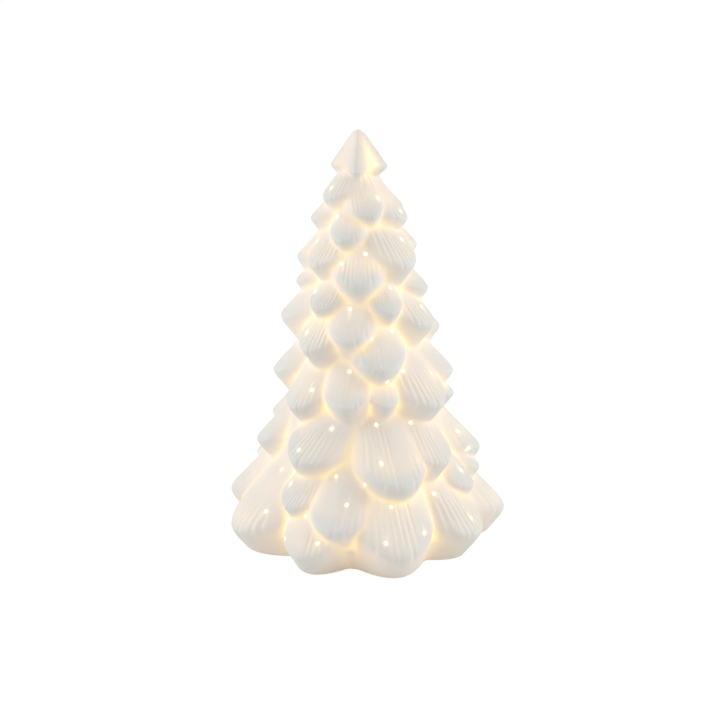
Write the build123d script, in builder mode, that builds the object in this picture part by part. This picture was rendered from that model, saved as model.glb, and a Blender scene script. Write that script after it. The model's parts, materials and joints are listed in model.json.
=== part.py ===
from build123d import *
import os
from math import cos, hypot, radians, sin, tan

# Ceramic Christmas tree with a battery light inside.
# Millimetres, +Z up, origin at the centre of the foot plane, front of the tree towards -Y.
# Azimuths are in degrees, 0 at the front (-Y) and growing towards the right (+X).

# Porcelain body
TRUNK_FOOT_RADIUS = 53.0
TRUNK_HEM_RADIUS = 60.5
TRUNK_HEM_HEIGHT = 13.0
TRUNK_WAIST_RADIUS = 36.0
TRUNK_WAIST_HEIGHT = 90.0
TRUNK_SHOULDER_RADIUS = 18.5
TRUNK_SHOULDER_HEIGHT = 165.0
TRUNK_TOP_RADIUS = 2.0
TRUNK_TOP_HEIGHT = 212.0
FOOT_SWAY = 1.9
TOP_SWAY = -1.9
SHELL_WALL = 2.8
FLOOR_THICKNESS = 5.0
CAVITY_TOP_RADIUS = 4.0
APEX_RADIUS = 2.6

# Branch lobes: a double cone of revolution whose axis leans with the trunk
BRANCH_SLOPE = 17.0
BRANCH_UPPER_ANGLE = 25.0
BRANCH_LOWER_ANGLE = 55.0
BRANCH_ROOT_DEPTH = 4.5
BRANCH_DEPTH_PER_WIDTH = 0.55
BRANCH_RIM_PER_WIDTH = 0.28
BRANCH_FACE_PER_WIDTH = 1.4
BRANCH_SKIRT_PER_WIDTH = 1.0
LEAF_RADIUS_PER_WIDTH = 1.0
LEAF_TOP_PER_WIDTH = 3.2
LEAF_CUT_PER_WIDTH = 5.0
LEAF_RIM_PER_WIDTH = 0.21

# Pierced light holes
LIGHT_HOLE_RADIUS = 1.1
LIGHT_HOLE_OVERRUN = 3.0

# Each tier: the height of its branch tips, then its branches as
# (azimuth, lift above the tier, half width, lean of the top to the right, light holes).
# A light hole is (across to the right, up from the tip) on the branch's face.
TIERS = (
    (202.0, (
        (-100, 0, 10, 0, ()),
        (-10, 0, 10, 0, ()),
        (72, 0, 10, 0, ((-4, 4),)),
        (165, 0, 10, 0, ((0, 6),)),
    )),
    (185.0, (
        (-63, 2, 10, 0, ((0.5, 6.5),)),
        (18, -4, 10, -10, ((6.5, 8.5),)),
        (94, -4, 9, 0, ()),
        (160, 0, 10, 0, ((1, 6),)),
        (-135, 0, 10, 0, ((-2, 6),)),
    )),
    (174.0, (
        (-95, 0, 11, 0, ()),
        (-21, -5, 10, 0, ((-6, 12.5),)),
        (76, 2, 11.5, 0, ((-2, 5),)),
        (130, 0, 11, 0, ((2, 6),)),
        (-165, 0, 11, 0, ((0, 7),)),
    )),
    (157.0, (
        (-52, -2, 12.5, 0, ((-8, 12),)),
        (-3, -9, 14.5, 0, ((3.5, 17), (-8.5, 12))),
        (51, -2, 15.5, 0, ((4.5, 14),)),
        (118, 0, 14, 0, ((3, 9),)),
        (178, 0, 14, 0, ((-4, 9), (6, 4))),
        (-103, -5, 15, 0, ((2, 8),)),
    )),
    (140.0, (
        (-44, -6, 10, 12, ((-6.5, 7),)),
        (28, -7, 9.5, 0, ((3, 13.5),)),
        (84, -2, 11, 0, ()),
        (145, 0, 9, 0, ((0, 7),)),
        (-155, 0, 10, 0, ((2, 7),)),
        (-95, 0, 10, 0, ()),
    )),
    (122.0, (
        (-93, -1, 18, 0, ()),
        (-11, -2, 13.5, 0, ((-0.5, 17.5),)),
        (66, 0, 14, 0, ((1, 10.5),)),
        (140, 0, 15, 0, ((3, 10),)),
        (-160, 0, 15, 0, ((-3, 9),)),
    )),
    (114.0, (
        (-43, -1, 14, 0, ((-5, 9),)),
        (15, -8, 15.5, 0, ((-4, 17), (8, 20))),
        (100, 0, 13, 0, ((0, 8),)),
        (175, 0, 13, 0, ((-3, 8),)),
        (-125, 0, 13, 0, ((3, 8),)),
    )),
    (92.0, (
        (-88, 0, 14, 0, ()),
        (-12, -5, 14, 0, ((0.5, 19.5),)),
        (16, -5, 9, 0, ((1.5, 13),)),
        (86, 0, 15, 0, ()),
        (125, 2, 9, 0, ((0, 6),)),
        (165, 0, 15, 0, ((-4, 9),)),
        (-140, 0, 15, 0, ((4, 9),)),
    )),
    (84.0, (
        (-48, -1, 14, 0, ((6.5, 11.5),)),
        (51, 0, 18, 0, ((-10, 22), (7, 16))),
        (84, -4, 9, 0, ()),
        (132, 0, 12, 0, ((0, 8),)),
        (-165, 0, 10, 0, ((0, 7),)),
        (-112, 0, 10, 0, ()),
    )),
    (56.0, (
        (-84, -2, 11, 0, ()),
        (-38, 2, 16, 18, ((5.5, 23.5), (-1.5, 6.5))),
        (19, -7, 20, -3, ((-5.5, 33.5), (-8.5, 14.5))),
        (45, -1, 15, 0, ((-7, 24.5),)),
        (93, -10, 16, 0, ((-9, 16), (-12, 6))),
        (140, 0, 17, 0, ((3, 10), (-5, 4))),
        (-170, 2, 18, 0, ((-3, 12),)),
        (-125, 0, 15, 0, ((2, 10),)),
    )),
    (35.0, (
        (-39, -1, 12, 12, ((-6.5, 10.5),)),
        (-15, -8, 18, 8, ((-6, 28), (9.5, 27.5), (4, 16))),
        (64, 1, 11, 0, ((-0.5, 10),)),
        (84, 3, 10, 0, ()),
        (117, 0, 16, 0, ((0, 12),)),
        (162, 0, 16, 0, ((4, 10),)),
        (-150, 0, 15, 0, ((-4, 10),)),
        (-117, -2, 14, 0, ((2, 9),)),
    )),
    (15.0, (
        (-97, 4, 21, 0, ()),
        (-66, -2, 23, 0, ((13.5, 17), (5, 38))),
        (-27, -2, 18, 0, ((-4, 20.5), (7, 9), (-13.5, 7))),
        (15, 1, 23, 0, ((-2, 26), (-8, 9), (13.5, 11.5))),
        (53, 1, 19, 0, ((-10.5, 27), (1, 9))),
        (90, -3, 22, 0, ()),
        (137, 0, 21, 0, ((3, 12), (-10, 5))),
        (-178, 0, 21, 0, ((-5, 14), (9, 5))),
        (-136, 0, 20, 0, ((2, 12),)),
    )),
)

# Cells of the AA size and their bay
CELL_COUNT = 3
CELL_DIAMETER = 14.2
CELL_LENGTH = 50.5
CELL_NUB_RADIUS = 2.75
CELL_NUB_LENGTH = 1.2
CELL_EDGE = 0.6
CELL_GAP = 0.8
CELL_CLEARANCE = 0.4
CELL_END_PLAY = 0.3
BAY_WALL = 1.6

# Sheet-metal contacts
SHEET = 0.4
CONTACT_WIDTH = 11.0
CONTACT_HEIGHT = 11.0
LEAF_WIDTH = 6.0
LEAF_REACH = 4.6
DIMPLE_RADIUS = 3.0
DIMPLE_HEIGHT = 0.9

# Moulded base housing
HOUSING_WALL = 2.0
BAY_CORNER_GAP = 1.0
FLANGE_RECESS = 1.5
FLANGE_THICKNESS = 3.0
FLANGE_LAP = 4.0
FLANGE_CLEARANCE = 0.4
RING_THICKNESS = 2.2
RING_HEIGHT = 6.0
RING_CLEARANCE = 0.1
RING_CHAMFER = 0.5
FLANGE_EDGE = 0.6
WIRE_SPACE = 6.5

# Battery door, its hinge pins and its latch tongue
DOOR_THICKNESS = 2.4
DOOR_LAP = 1.0
DOOR_GAP = 0.4
DOOR_SEAT_GAP = 0.1
DOOR_CORNER = 1.5
PIN_RADIUS = 0.75
PIN_LENGTH = 2.0
PIN_CLEARANCE = 0.06
PIN_END_GAP = 0.3
TONGUE_WIDTH = 11.0
TONGUE_LENGTH = 8.0
TONGUE_SLOT = 1.0
TONGUE_RIDGE_HEIGHT = 0.6
TONGUE_RIDGE_WIDTH = 0.9
TONGUE_RIDGE_PITCH = 1.8
TONGUE_RIDGES = 3
FINGER_SCOOP_RADIUS = 6.5
FINGER_SCOOP_DEPTH = 1.6

# Control board with its slide switch
BOARD_LENGTH = 30.0
BOARD_WIDTH = 10.0
BOARD_THICKNESS = 1.6
BOARD_WALL_GAP = 0.5
SWITCH_LENGTH = 14.0
SWITCH_WIDTH = 6.4
SWITCH_HEIGHT = 4.8
SWITCH_FLANGE_GAP = 0.2
SWITCH_TRAVEL = 5.0
KNOB_LENGTH = 4.0
KNOB_WIDTH = 2.6
KNOB_PROUD = 0.7
KNOB_BLOCK_LENGTH = 6.0
KNOB_BLOCK_WIDTH = 4.0
KNOB_BLOCK_HEIGHT = 2.0
KNOB_GAP = 0.3
KNOB_RIDGE = 0.5
CHIP_SIZE = (4.0, 5.0, 1.5)
CHIP_CHAMFER = 0.25
CRYSTAL_RADIUS = 1.0
CRYSTAL_LENGTH = 6.0
CRYSTAL_EDGE = 0.2
RESISTOR_RADIUS = 0.8
RESISTOR_LENGTH = 3.6
RESISTOR_EDGE = 0.3

# Screws
SCREW_RADIUS = 0.9
SCREW_HEAD_RADIUS = 1.9
SCREW_HEAD_HEIGHT = 1.3
SCREW_LENGTH = 5.0
SCREW_HEAD_EDGE = 0.5
SCREW_HEAD_GAP = 0.3
SCREW_SLOT_WIDTH = 0.6
SCREW_SLOT_LENGTH = 2.2
SCREW_CLEARANCE = 0.06
BOSS_RADIUS = 3.0
BOSS_HOLE_EXTRA = 0.6
COVER_BOSS_AZIMUTHS = (0.0, 180.0, 270.0)

# Light carrier above the housing
COVER_THICKNESS = 2.0
COVER_EDGE = 0.5
COVER_SINK = 0.8
TUBE_RADIUS = 5.0
TUBE_WALL = 1.1
TUBE_HEADROOM = 21.0
SOCKET_HEIGHT = 8.0
SOCKET_WALL = 2.0
SOCKET_CLEARANCE = 0.1
WIRE_HOLE_RADIUS = 3.2
STRIP_WIDTH = 6.8
STRIP_THICKNESS = 1.0
LED_COUNT = 6
LED_SIZE = (1.2, 3.0, 3.6)
LED_FIRST_ABOVE_COVER = 14.0
CAP_PLUG_LENGTH = 4.5
CAP_FLANGE = 1.5
CAP_CLEARANCE = 0.15
CAP_BORE_RADIUS = 1.6
DOME_RADIUS = 2.5
DOME_FLANGE_RADIUS = 2.9
DOME_FLANGE_HEIGHT = 1.0
DOME_BODY_HEIGHT = 3.6
LEG_RADIUS = 0.25
LEG_GAP = 0.03
LEG_OVERLAP = 3.0

# Insulated leads
WIRE_RADIUS = 0.7
WIRE_CLEARANCE = 0.15
WIRE_BEND = 3.2
LAMP_WIRE_OVERLAP = 5.0
LAMP_LEAD_Y = 1.6
LAMP_PAD_Y = 4.0
BATTERY_PAD_Y = 8.0
PAD_INSET = 2.0
LEAD_EXIT_ABOVE_AXIS = 2.6

# Levels and radii worked out from the sizes above
flange_bottom = FLANGE_RECESS
flange_top = flange_bottom + FLANGE_THICKNESS
floor_top = flange_top + FLOOR_THICKNESS
door_top = flange_bottom + DOOR_THICKNESS
cell_axis_height = door_top + CELL_CLEARANCE + CELL_DIAMETER / 2
bay_ceiling = cell_axis_height + CELL_DIAMETER / 2 + CELL_CLEARANCE
roof_top = bay_ceiling + BAY_WALL
housing_top = roof_top + WIRE_SPACE
cover_top = housing_top + COVER_THICKNESS

cell_pitch = CELL_DIAMETER + CELL_GAP
bay_width = CELL_COUNT * CELL_DIAMETER + (CELL_COUNT - 1) * CELL_GAP + 2 * CELL_CLEARANCE
bay_length = CELL_LENGTH + 2 * SHEET + LEAF_REACH + DIMPLE_HEIGHT + CELL_END_PLAY
bay_half_width = bay_width / 2 + BAY_WALL
bay_half_length = bay_length / 2 + BAY_WALL
housing_inner_radius = hypot(bay_half_width, bay_half_length) + BAY_CORNER_GAP
housing_radius = housing_inner_radius + HOUSING_WALL
opening_radius = housing_radius + RING_THICKNESS
flange_radius = opening_radius + FLANGE_LAP
rebate_radius = flange_radius + FLANGE_CLEARANCE

door_width = bay_width + 2 * DOOR_LAP
door_length = bay_length + 2 * DOOR_LAP
hinge_y = door_length / 2 - DOOR_THICKNESS / 2
hinge_z = flange_bottom + DOOR_THICKNESS / 2

switch_bottom = flange_top + SWITCH_FLANGE_GAP
board_bottom = switch_bottom + SWITCH_HEIGHT
board_top = board_bottom + BOARD_THICKNESS
board_reach = ((housing_inner_radius - BOARD_WALL_GAP) ** 2 - (BOARD_LENGTH / 2) ** 2) ** 0.5
board_x = board_reach - BOARD_WIDTH / 2
lead_pad_x = board_x - BOARD_WIDTH / 2 + PAD_INSET
lead_exit_height = cell_axis_height + LEAD_EXIT_ABOVE_AXIS
board_screw_y = BOARD_LENGTH / 2 - BOSS_RADIUS
knob_y = -SWITCH_TRAVEL / 2
cover_boss_radius = housing_inner_radius - BOSS_RADIUS + HOUSING_WALL / 2

shoulder_fall = TRUNK_SHOULDER_RADIUS - TRUNK_TOP_RADIUS
cavity_share = (CAVITY_TOP_RADIUS + SHELL_WALL - TRUNK_TOP_RADIUS) / shoulder_fall
cavity_top = TRUNK_TOP_HEIGHT - cavity_share * (TRUNK_TOP_HEIGHT - TRUNK_SHOULDER_HEIGHT)
dome_stack = CAP_FLANGE + DOME_FLANGE_HEIGHT + DOME_BODY_HEIGHT + DOME_RADIUS
tube_top = cavity_top - TUBE_HEADROOM - dome_stack
strip_top = tube_top - CAP_PLUG_LENGTH - CAP_CLEARANCE


TRUNK_PROFILE = (
    (TRUNK_FOOT_RADIUS, 0.0),
    (TRUNK_HEM_RADIUS, TRUNK_HEM_HEIGHT),
    (TRUNK_WAIST_RADIUS, TRUNK_WAIST_HEIGHT),
    (TRUNK_SHOULDER_RADIUS, TRUNK_SHOULDER_HEIGHT),
    (TRUNK_TOP_RADIUS, TRUNK_TOP_HEIGHT),
)


def trunk_radius(height):
    """Radius of the trunk between the branches at a height: straight tapers between its corners."""
    for (lower_radius, lower), (upper_radius, upper) in zip(TRUNK_PROFILE, TRUNK_PROFILE[1:]):
        if height <= upper:
            break
    return lower_radius + (upper_radius - lower_radius) * (height - lower) / (upper - lower)


def sway(height):
    """How far the ring of branches at a height stands to the right of the trunk's axis."""
    return FOOT_SWAY + (TOP_SWAY - FOOT_SWAY) * height / TRUNK_TOP_HEIGHT


def outward(azimuth):
    """Unit vector that points away from the tree's axis at an azimuth."""
    return Vector(sin(radians(azimuth)), -cos(radians(azimuth)), 0)


def branch_depth(half_width):
    """How far a branch tip stands off the trunk."""
    return BRANCH_ROOT_DEPTH + BRANCH_DEPTH_PER_WIDTH * half_width


def branch_frame(azimuth, tip_height, half_width, lean):
    """A branch's tip, and the unit vectors up its axis, out of its face and across it."""
    out = outward(azimuth)
    right = outward(azimuth + 90)
    slope = radians(BRANCH_SLOPE)
    tip = out * (trunk_radius(tip_height) + branch_depth(half_width))
    tip = tip + Vector(sway(tip_height), 0, tip_height)
    face = out * cos(slope) + Vector(0, 0, sin(slope))
    straight_up = out * -sin(slope) + Vector(0, 0, cos(slope))
    up = straight_up * cos(radians(lean)) + right * sin(radians(lean))
    across = right * cos(radians(lean)) - straight_up * sin(radians(lean))
    return tip, up, face, across


def branch_top(azimuth, tip_height, half_width, lean):
    """The point where the upper cone of a branch ends."""
    tip, up, face, across = branch_frame(azimuth, tip_height, half_width, lean)
    return tip - face * half_width + up * (half_width / tan(radians(BRANCH_UPPER_ANGLE)))


def make_crown_branch(azimuth, tip_height, half_width, lean):
    """One branch of the crown: a long cone above its rim, a short one below it, and a rounded rim."""
    tip, up, face, across = branch_frame(azimuth, tip_height, half_width, lean)
    centre = tip - face * half_width
    upper = half_width / tan(radians(BRANCH_UPPER_ANGLE))
    lower = half_width / tan(radians(BRANCH_LOWER_ANGLE))
    with BuildPart() as branch:
        with BuildSketch(Plane(origin=centre, x_dir=face, z_dir=face.cross(up))):
            with BuildLine():
                Polyline((0, upper), (half_width, 0), (0, -lower), close=True)
            make_face()
        revolve(axis=Axis(centre, up))
        fillet(edges().filter_by(GeomType.CIRCLE), BRANCH_RIM_PER_WIDTH * half_width)
    return branch.part


def make_branch(azimuth, tip_height, half_width, lean):
    """One branch lobe: the face of a broad cone, cut to a hanging leaf, with a rounded rim."""
    tip, up, face, across = branch_frame(azimuth, tip_height, half_width, lean)
    face_radius = BRANCH_FACE_PER_WIDTH * half_width
    skirt = BRANCH_SKIRT_PER_WIDTH * half_width
    leaf_radius = LEAF_RADIUS_PER_WIDTH * half_width
    leaf_top = LEAF_TOP_PER_WIDTH * half_width
    taper = tan(radians(BRANCH_UPPER_ANGLE))
    lower = radians(BRANCH_LOWER_ANGLE)
    under = face * -sin(lower) - up * cos(lower)
    rise = up * sin(lower) - face * cos(lower)
    cone_centre = tip - face * face_radius
    leaf_centre = tip + rise * leaf_radius - under * half_width
    sine = leaf_radius / leaf_top
    shoulder_x = leaf_radius * (1 - sine ** 2) ** 0.5
    shoulder_y = leaf_radius * sine
    with BuildPart() as branch:
        # The cone, drawn behind its axis so that its seam stays clear of the rim
        with BuildSketch(Plane(origin=cone_centre, x_dir=-face, z_dir=up.cross(face))):
            with BuildLine():
                Polyline(
                    (0, face_radius / taper),
                    (face_radius + skirt * taper, -skirt),
                    (0, -skirt),
                    close=True,
                )
            make_face()
        revolve(axis=Axis(cone_centre, up))
        # The leaf: a round lower end and two straight sides that meet at the top
        with BuildSketch(Plane(origin=leaf_centre, x_dir=-across, z_dir=under)):
            with BuildLine():
                ThreePointArc((shoulder_x, shoulder_y), (0, -leaf_radius), (-shoulder_x, shoulder_y))
                Polyline((-shoulder_x, shoulder_y), (0, leaf_top), (shoulder_x, shoulder_y))
            make_face()
        extrude(amount=LEAF_CUT_PER_WIDTH * half_width, mode=Mode.INTERSECT)
        rim = edges().filter_by(GeomType.BSPLINE).sort_by_distance(tip)[0]
        fillet(rim, LEAF_RIM_PER_WIDTH * half_width)
    return branch.part


def make_light_hole(azimuth, tip_height, half_width, lean, hole):
    """The rod that pierces one light hole, from clear of the branch to inside the cavity."""
    tip, up, face, across = branch_frame(azimuth, tip_height, half_width, lean)
    sideways, rise = hole
    mouth = tip + across * sideways + up * rise + face * half_width
    depth = half_width + branch_depth(half_width) + SHELL_WALL + LIGHT_HOLE_OVERRUN
    with BuildPart() as rod:
        with BuildSketch(Plane(origin=mouth, z_dir=face)):
            Circle(LIGHT_HOLE_RADIUS)
        extrude(amount=-depth)
    return rod.part


# Porcelain shell: one slip-cast piece, thin between the branches and thick at their tips
branch_tiers = []
light_holes = []
for tier_height, tier in TIERS:
    tier_branches = []
    for azimuth, lift, half_width, lean, holes in tier:
        tip_height = tier_height + lift
        maker = make_branch if branch_tiers else make_crown_branch
        tier_branches.append(maker(azimuth, tip_height, half_width, lean))
        for hole in holes:
            light_holes.append(make_light_hole(azimuth, tip_height, half_width, lean, hole))
    branch_tiers.append(tier_branches)

crown_height, crown = TIERS[0]
crown_tops = [branch_top(az, crown_height + lift, width, lean) for az, lift, width, lean, _ in crown]
apex_height = sum(top.Z for top in crown_tops) / len(crown_tops)

with BuildPart() as apex_ball:
    with Locations((sway(crown_height), 0, apex_height - APEX_RADIUS / 2)):
        Sphere(APEX_RADIUS)

with BuildPart() as porcelain_shell:
    with BuildSketch(Plane.XZ):
        with BuildLine():
            Polyline((0, 0), *TRUNK_PROFILE, (0, TRUNK_TOP_HEIGHT), close=True)
        make_face()
    revolve(axis=Axis.Z)
    # the crown's branches share one point, so they are joined one by one
    for branch in branch_tiers[0]:
        add(branch)
    for tier_branches in branch_tiers[1:]:
        add(tier_branches)
    add(apex_ball.part)
    split(bisect_by=Plane.XY, keep=Keep.TOP)
    with BuildSketch(Plane.XZ):
        with BuildLine():
            Polyline(
                (0, 0),
                (rebate_radius, 0),
                (rebate_radius, flange_top),
                (opening_radius, flange_top),
                (opening_radius, floor_top),
                (trunk_radius(floor_top) - SHELL_WALL, floor_top),
                (TRUNK_HEM_RADIUS - SHELL_WALL, TRUNK_HEM_HEIGHT),
                (TRUNK_WAIST_RADIUS - SHELL_WALL, TRUNK_WAIST_HEIGHT),
                (TRUNK_SHOULDER_RADIUS - SHELL_WALL, TRUNK_SHOULDER_HEIGHT),
                (CAVITY_TOP_RADIUS, cavity_top),
                (0, cavity_top),
                close=True,
            )
        make_face()
    revolve(axis=Axis.Z, mode=Mode.SUBTRACT)
    add(light_holes, mode=Mode.SUBTRACT)
porcelain_shell.part.label = "porcelain_shell"

# Silicone ring that grips the housing in the shell's opening
with BuildPart() as sealing_ring:
    with BuildSketch(Plane.XY.offset(flange_top)):
        Circle(opening_radius - RING_CLEARANCE)
        Circle(housing_radius + RING_CLEARANCE, mode=Mode.SUBTRACT)
    extrude(amount=RING_HEIGHT)
    chamfer(edges().group_by(Axis.Z)[-1], RING_CHAMFER)
sealing_ring.part.label = "sealing_ring"

# Base housing: flange, round wall, battery bay and screw bosses in one moulding
cover_boss_spots = [outward(azimuth) * cover_boss_radius for azimuth in COVER_BOSS_AZIMUTHS]
board_boss_spots = [Vector(board_x, side * board_screw_y, 0) for side in (-1, 1)]

with BuildPart() as base_housing:
    with BuildSketch(Plane.XY.offset(flange_bottom)):
        Circle(flange_radius)
    extrude(amount=FLANGE_THICKNESS)
    fillet(edges().group_by(Axis.Z)[0], FLANGE_EDGE)
    with BuildSketch(Plane.XY.offset(flange_top)):
        Circle(housing_radius)
        Circle(housing_inner_radius, mode=Mode.SUBTRACT)
        with Locations(*cover_boss_spots):
            Circle(BOSS_RADIUS)
    extrude(amount=housing_top - flange_top)
    with BuildSketch(Plane.XY.offset(flange_top)):
        with Locations(*board_boss_spots):
            Circle(BOSS_RADIUS)
    extrude(amount=board_bottom - flange_top)
    with BuildSketch(Plane.XY.offset(flange_top)):
        Rectangle(2 * bay_half_width, 2 * bay_half_length)
    extrude(amount=roof_top - flange_top)
    # the bay, the door's recess and the relief over its hinge edge
    with BuildSketch(Plane.XY.offset(flange_bottom)):
        Rectangle(bay_width, bay_length)
    extrude(amount=bay_ceiling - flange_bottom, mode=Mode.SUBTRACT)
    with BuildSketch(Plane.XY.offset(flange_bottom)):
        Rectangle(door_width + 2 * DOOR_GAP, door_length + 2 * DOOR_GAP)
    extrude(amount=DOOR_THICKNESS + DOOR_SEAT_GAP, mode=Mode.SUBTRACT)
    with BuildSketch(Plane.XY.offset(flange_bottom)):
        with Locations((0, hinge_y - DOOR_THICKNESS)):
            hinge_relief = door_length / 2 + DOOR_GAP - hinge_y + DOOR_THICKNESS
            Rectangle(door_width + 2 * DOOR_GAP, hinge_relief, align=(Align.CENTER, Align.MIN))
    extrude(amount=DOOR_THICKNESS + DOOR_GAP, mode=Mode.SUBTRACT)
    # hinge sockets
    pin_socket_half = door_width / 2 + PIN_LENGTH + PIN_END_GAP
    with BuildSketch(Plane.YZ.offset(-pin_socket_half)):
        with Locations((hinge_y, hinge_z)):
            Circle(PIN_RADIUS + PIN_CLEARANCE)
    extrude(amount=2 * pin_socket_half, mode=Mode.SUBTRACT)
    # finger scoop in front of the latch tongue
    with BuildSketch(Plane.XY.offset(flange_bottom)):
        with Locations((0, -door_length / 2 - DOOR_GAP)):
            Circle(FINGER_SCOOP_RADIUS)
    extrude(amount=FINGER_SCOOP_DEPTH, mode=Mode.SUBTRACT)
    # slot for the switch knob
    with BuildSketch(Plane.XY.offset(flange_bottom)):
        with Locations((board_x, 0)):
            Rectangle(KNOB_WIDTH + 2 * KNOB_GAP, KNOB_LENGTH + SWITCH_TRAVEL + 2 * KNOB_GAP)
    extrude(amount=FLANGE_THICKNESS, mode=Mode.SUBTRACT)
    # pilot holes
    with BuildSketch(Plane.XY.offset(housing_top)):
        with Locations(*cover_boss_spots):
            Circle(SCREW_RADIUS + SCREW_CLEARANCE)
    extrude(amount=-(SCREW_LENGTH + BOSS_HOLE_EXTRA), mode=Mode.SUBTRACT)
    with BuildSketch(Plane.XY.offset(board_bottom)):
        with Locations(*board_boss_spots):
            Circle(SCREW_RADIUS + SCREW_CLEARANCE)
    extrude(amount=-(SCREW_LENGTH - BOARD_THICKNESS + BOSS_HOLE_EXTRA), mode=Mode.SUBTRACT)
    # holes where the battery leads leave the bay
    with BuildSketch(Plane.XZ.offset(bay_length / 2)):
        with Locations((-cell_pitch, lead_exit_height)):
            Circle(WIRE_RADIUS + WIRE_CLEARANCE)
    extrude(amount=BAY_WALL, mode=Mode.SUBTRACT)
    with BuildSketch(Plane.XZ.offset(-bay_length / 2)):
        with Locations((cell_pitch, lead_exit_height)):
            Circle(WIRE_RADIUS + WIRE_CLEARANCE)
    extrude(amount=-BAY_WALL, mode=Mode.SUBTRACT)
base_housing.part.label = "base_housing"

# Battery door: a plate with a rounded hinge edge, two stub pins and a latch tongue
door_front = -door_length / 2
with BuildPart() as battery_door:
    with BuildSketch(Plane.YZ.offset(-door_width / 2)):
        with BuildLine():
            Line((door_front, flange_bottom), (hinge_y, flange_bottom))
            ThreePointArc((hinge_y, flange_bottom), (door_length / 2, hinge_z), (hinge_y, door_top))
            Line((hinge_y, door_top), (door_front, door_top))
            Line((door_front, door_top), (door_front, flange_bottom))
        make_face()
    extrude(amount=door_width)
    fillet(edges().filter_by(Axis.Z).group_by(Axis.Y)[0], DOOR_CORNER)
    with BuildSketch(Plane.YZ.offset(-door_width / 2 - PIN_LENGTH)):
        with Locations((hinge_y, hinge_z)):
            Circle(PIN_RADIUS)
    extrude(amount=door_width + 2 * PIN_LENGTH)
    with BuildSketch(Plane.XY.offset(flange_bottom)):
        for side in (-1, 1):
            with Locations((side * (TONGUE_WIDTH + TONGUE_SLOT) / 2, door_front)):
                Rectangle(TONGUE_SLOT, TONGUE_LENGTH, align=(Align.CENTER, Align.MIN))
    extrude(amount=DOOR_THICKNESS, mode=Mode.SUBTRACT)
    with BuildSketch(Plane.XY.offset(flange_bottom)):
        for ridge in range(TONGUE_RIDGES):
            with Locations((0, door_front + TONGUE_RIDGE_WIDTH + ridge * TONGUE_RIDGE_PITCH)):
                Rectangle(TONGUE_WIDTH - 2 * TONGUE_RIDGE_WIDTH, TONGUE_RIDGE_WIDTH)
    extrude(amount=-TONGUE_RIDGE_HEIGHT)
battery_door.part.label = "battery_door"


def make_cell(x, direction):
    """One AA cell lying along Y; direction is +1 or -1, the way its nub points."""
    negative = -direction * (bay_length / 2 - SHEET - LEAF_REACH - CELL_END_PLAY / 2)
    body = CELL_LENGTH - CELL_NUB_LENGTH
    with BuildPart() as cell:
        with BuildSketch(Plane(origin=(x, negative, cell_axis_height), z_dir=(0, direction, 0))):
            Circle(CELL_DIAMETER / 2)
        extrude(amount=body)
        fillet(edges().filter_by(GeomType.CIRCLE), CELL_EDGE)
        shoulder = (x, negative + direction * body, cell_axis_height)
        with BuildSketch(Plane(origin=shoulder, z_dir=(0, direction, 0))):
            Circle(CELL_NUB_RADIUS)
        extrude(amount=CELL_NUB_LENGTH)
    return cell.part


# Three AA cells, turned alternately
with BuildPart() as left_cell:
    add(make_cell(-cell_pitch, 1))
left_cell.part.label = "left_cell"

with BuildPart() as middle_cell:
    add(make_cell(0, -1))
middle_cell.part.label = "middle_cell"

with BuildPart() as right_cell:
    add(make_cell(cell_pitch, 1))
right_cell.part.label = "right_cell"


def make_plate(x_from, x_to, end):
    """A contact plate on a bay end wall, from one cell's column to another's."""
    width = abs(x_to - x_from) + CONTACT_WIDTH
    with BuildPart() as plate:
        with Locations(((x_from + x_to) / 2, end * (bay_length / 2 - SHEET / 2), cell_axis_height)):
            Box(width, SHEET, CONTACT_HEIGHT)
    return plate.part


def make_leaf(x, end):
    """A bowed leaf spring that stands off a contact plate, fixed at its lower end."""
    root = end * (bay_length / 2 - SHEET / 2)
    crest = end * (bay_length / 2 - SHEET - LEAF_REACH + SHEET / 2)
    free = end * (bay_length / 2 - 3 * SHEET)
    with BuildPart() as leaf:
        with BuildSketch(Plane.YZ.offset(x - LEAF_WIDTH / 2)):
            with BuildLine():
                ThreePointArc(
                    (root, cell_axis_height - CONTACT_HEIGHT / 2 + SHEET),
                    (crest, cell_axis_height),
                    (free, cell_axis_height + CONTACT_HEIGHT / 2 - SHEET),
                )
            trace(line_width=SHEET)
        extrude(amount=LEAF_WIDTH)
    return leaf.part


def make_dimple(x, end):
    """A round contact bump pressed out of a plate."""
    with BuildPart() as dimple:
        sheet_face = (x, end * (bay_length / 2 - SHEET), cell_axis_height)
        with BuildSketch(Plane(origin=sheet_face, z_dir=(0, -end, 0))):
            Circle(DIMPLE_RADIUS)
        extrude(amount=DIMPLE_HEIGHT)
    return dimple.part


# Battery contacts
with BuildPart() as negative_terminal:
    add([make_plate(-cell_pitch, -cell_pitch, -1), make_leaf(-cell_pitch, -1)])
negative_terminal.part.label = "negative_terminal"

with BuildPart() as positive_terminal:
    add([make_plate(cell_pitch, cell_pitch, 1), make_dimple(cell_pitch, 1)])
positive_terminal.part.label = "positive_terminal"

with BuildPart() as rear_link:
    add([make_plate(-cell_pitch, 0, 1), make_dimple(-cell_pitch, 1), make_leaf(0, 1)])
rear_link.part.label = "rear_link"

with BuildPart() as front_link:
    add([make_plate(0, cell_pitch, -1), make_dimple(0, -1), make_leaf(cell_pitch, -1)])
front_link.part.label = "front_link"

# Control board on its two bosses
with BuildPart() as control_board:
    with BuildSketch(Plane.XY.offset(board_bottom)):
        with Locations((board_x, 0)):
            Rectangle(BOARD_WIDTH, BOARD_LENGTH)
        with Locations(*board_boss_spots):
            Circle(SCREW_RADIUS + SCREW_CLEARANCE, mode=Mode.SUBTRACT)
    extrude(amount=BOARD_THICKNESS)
control_board.part.label = "control_board"

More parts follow.
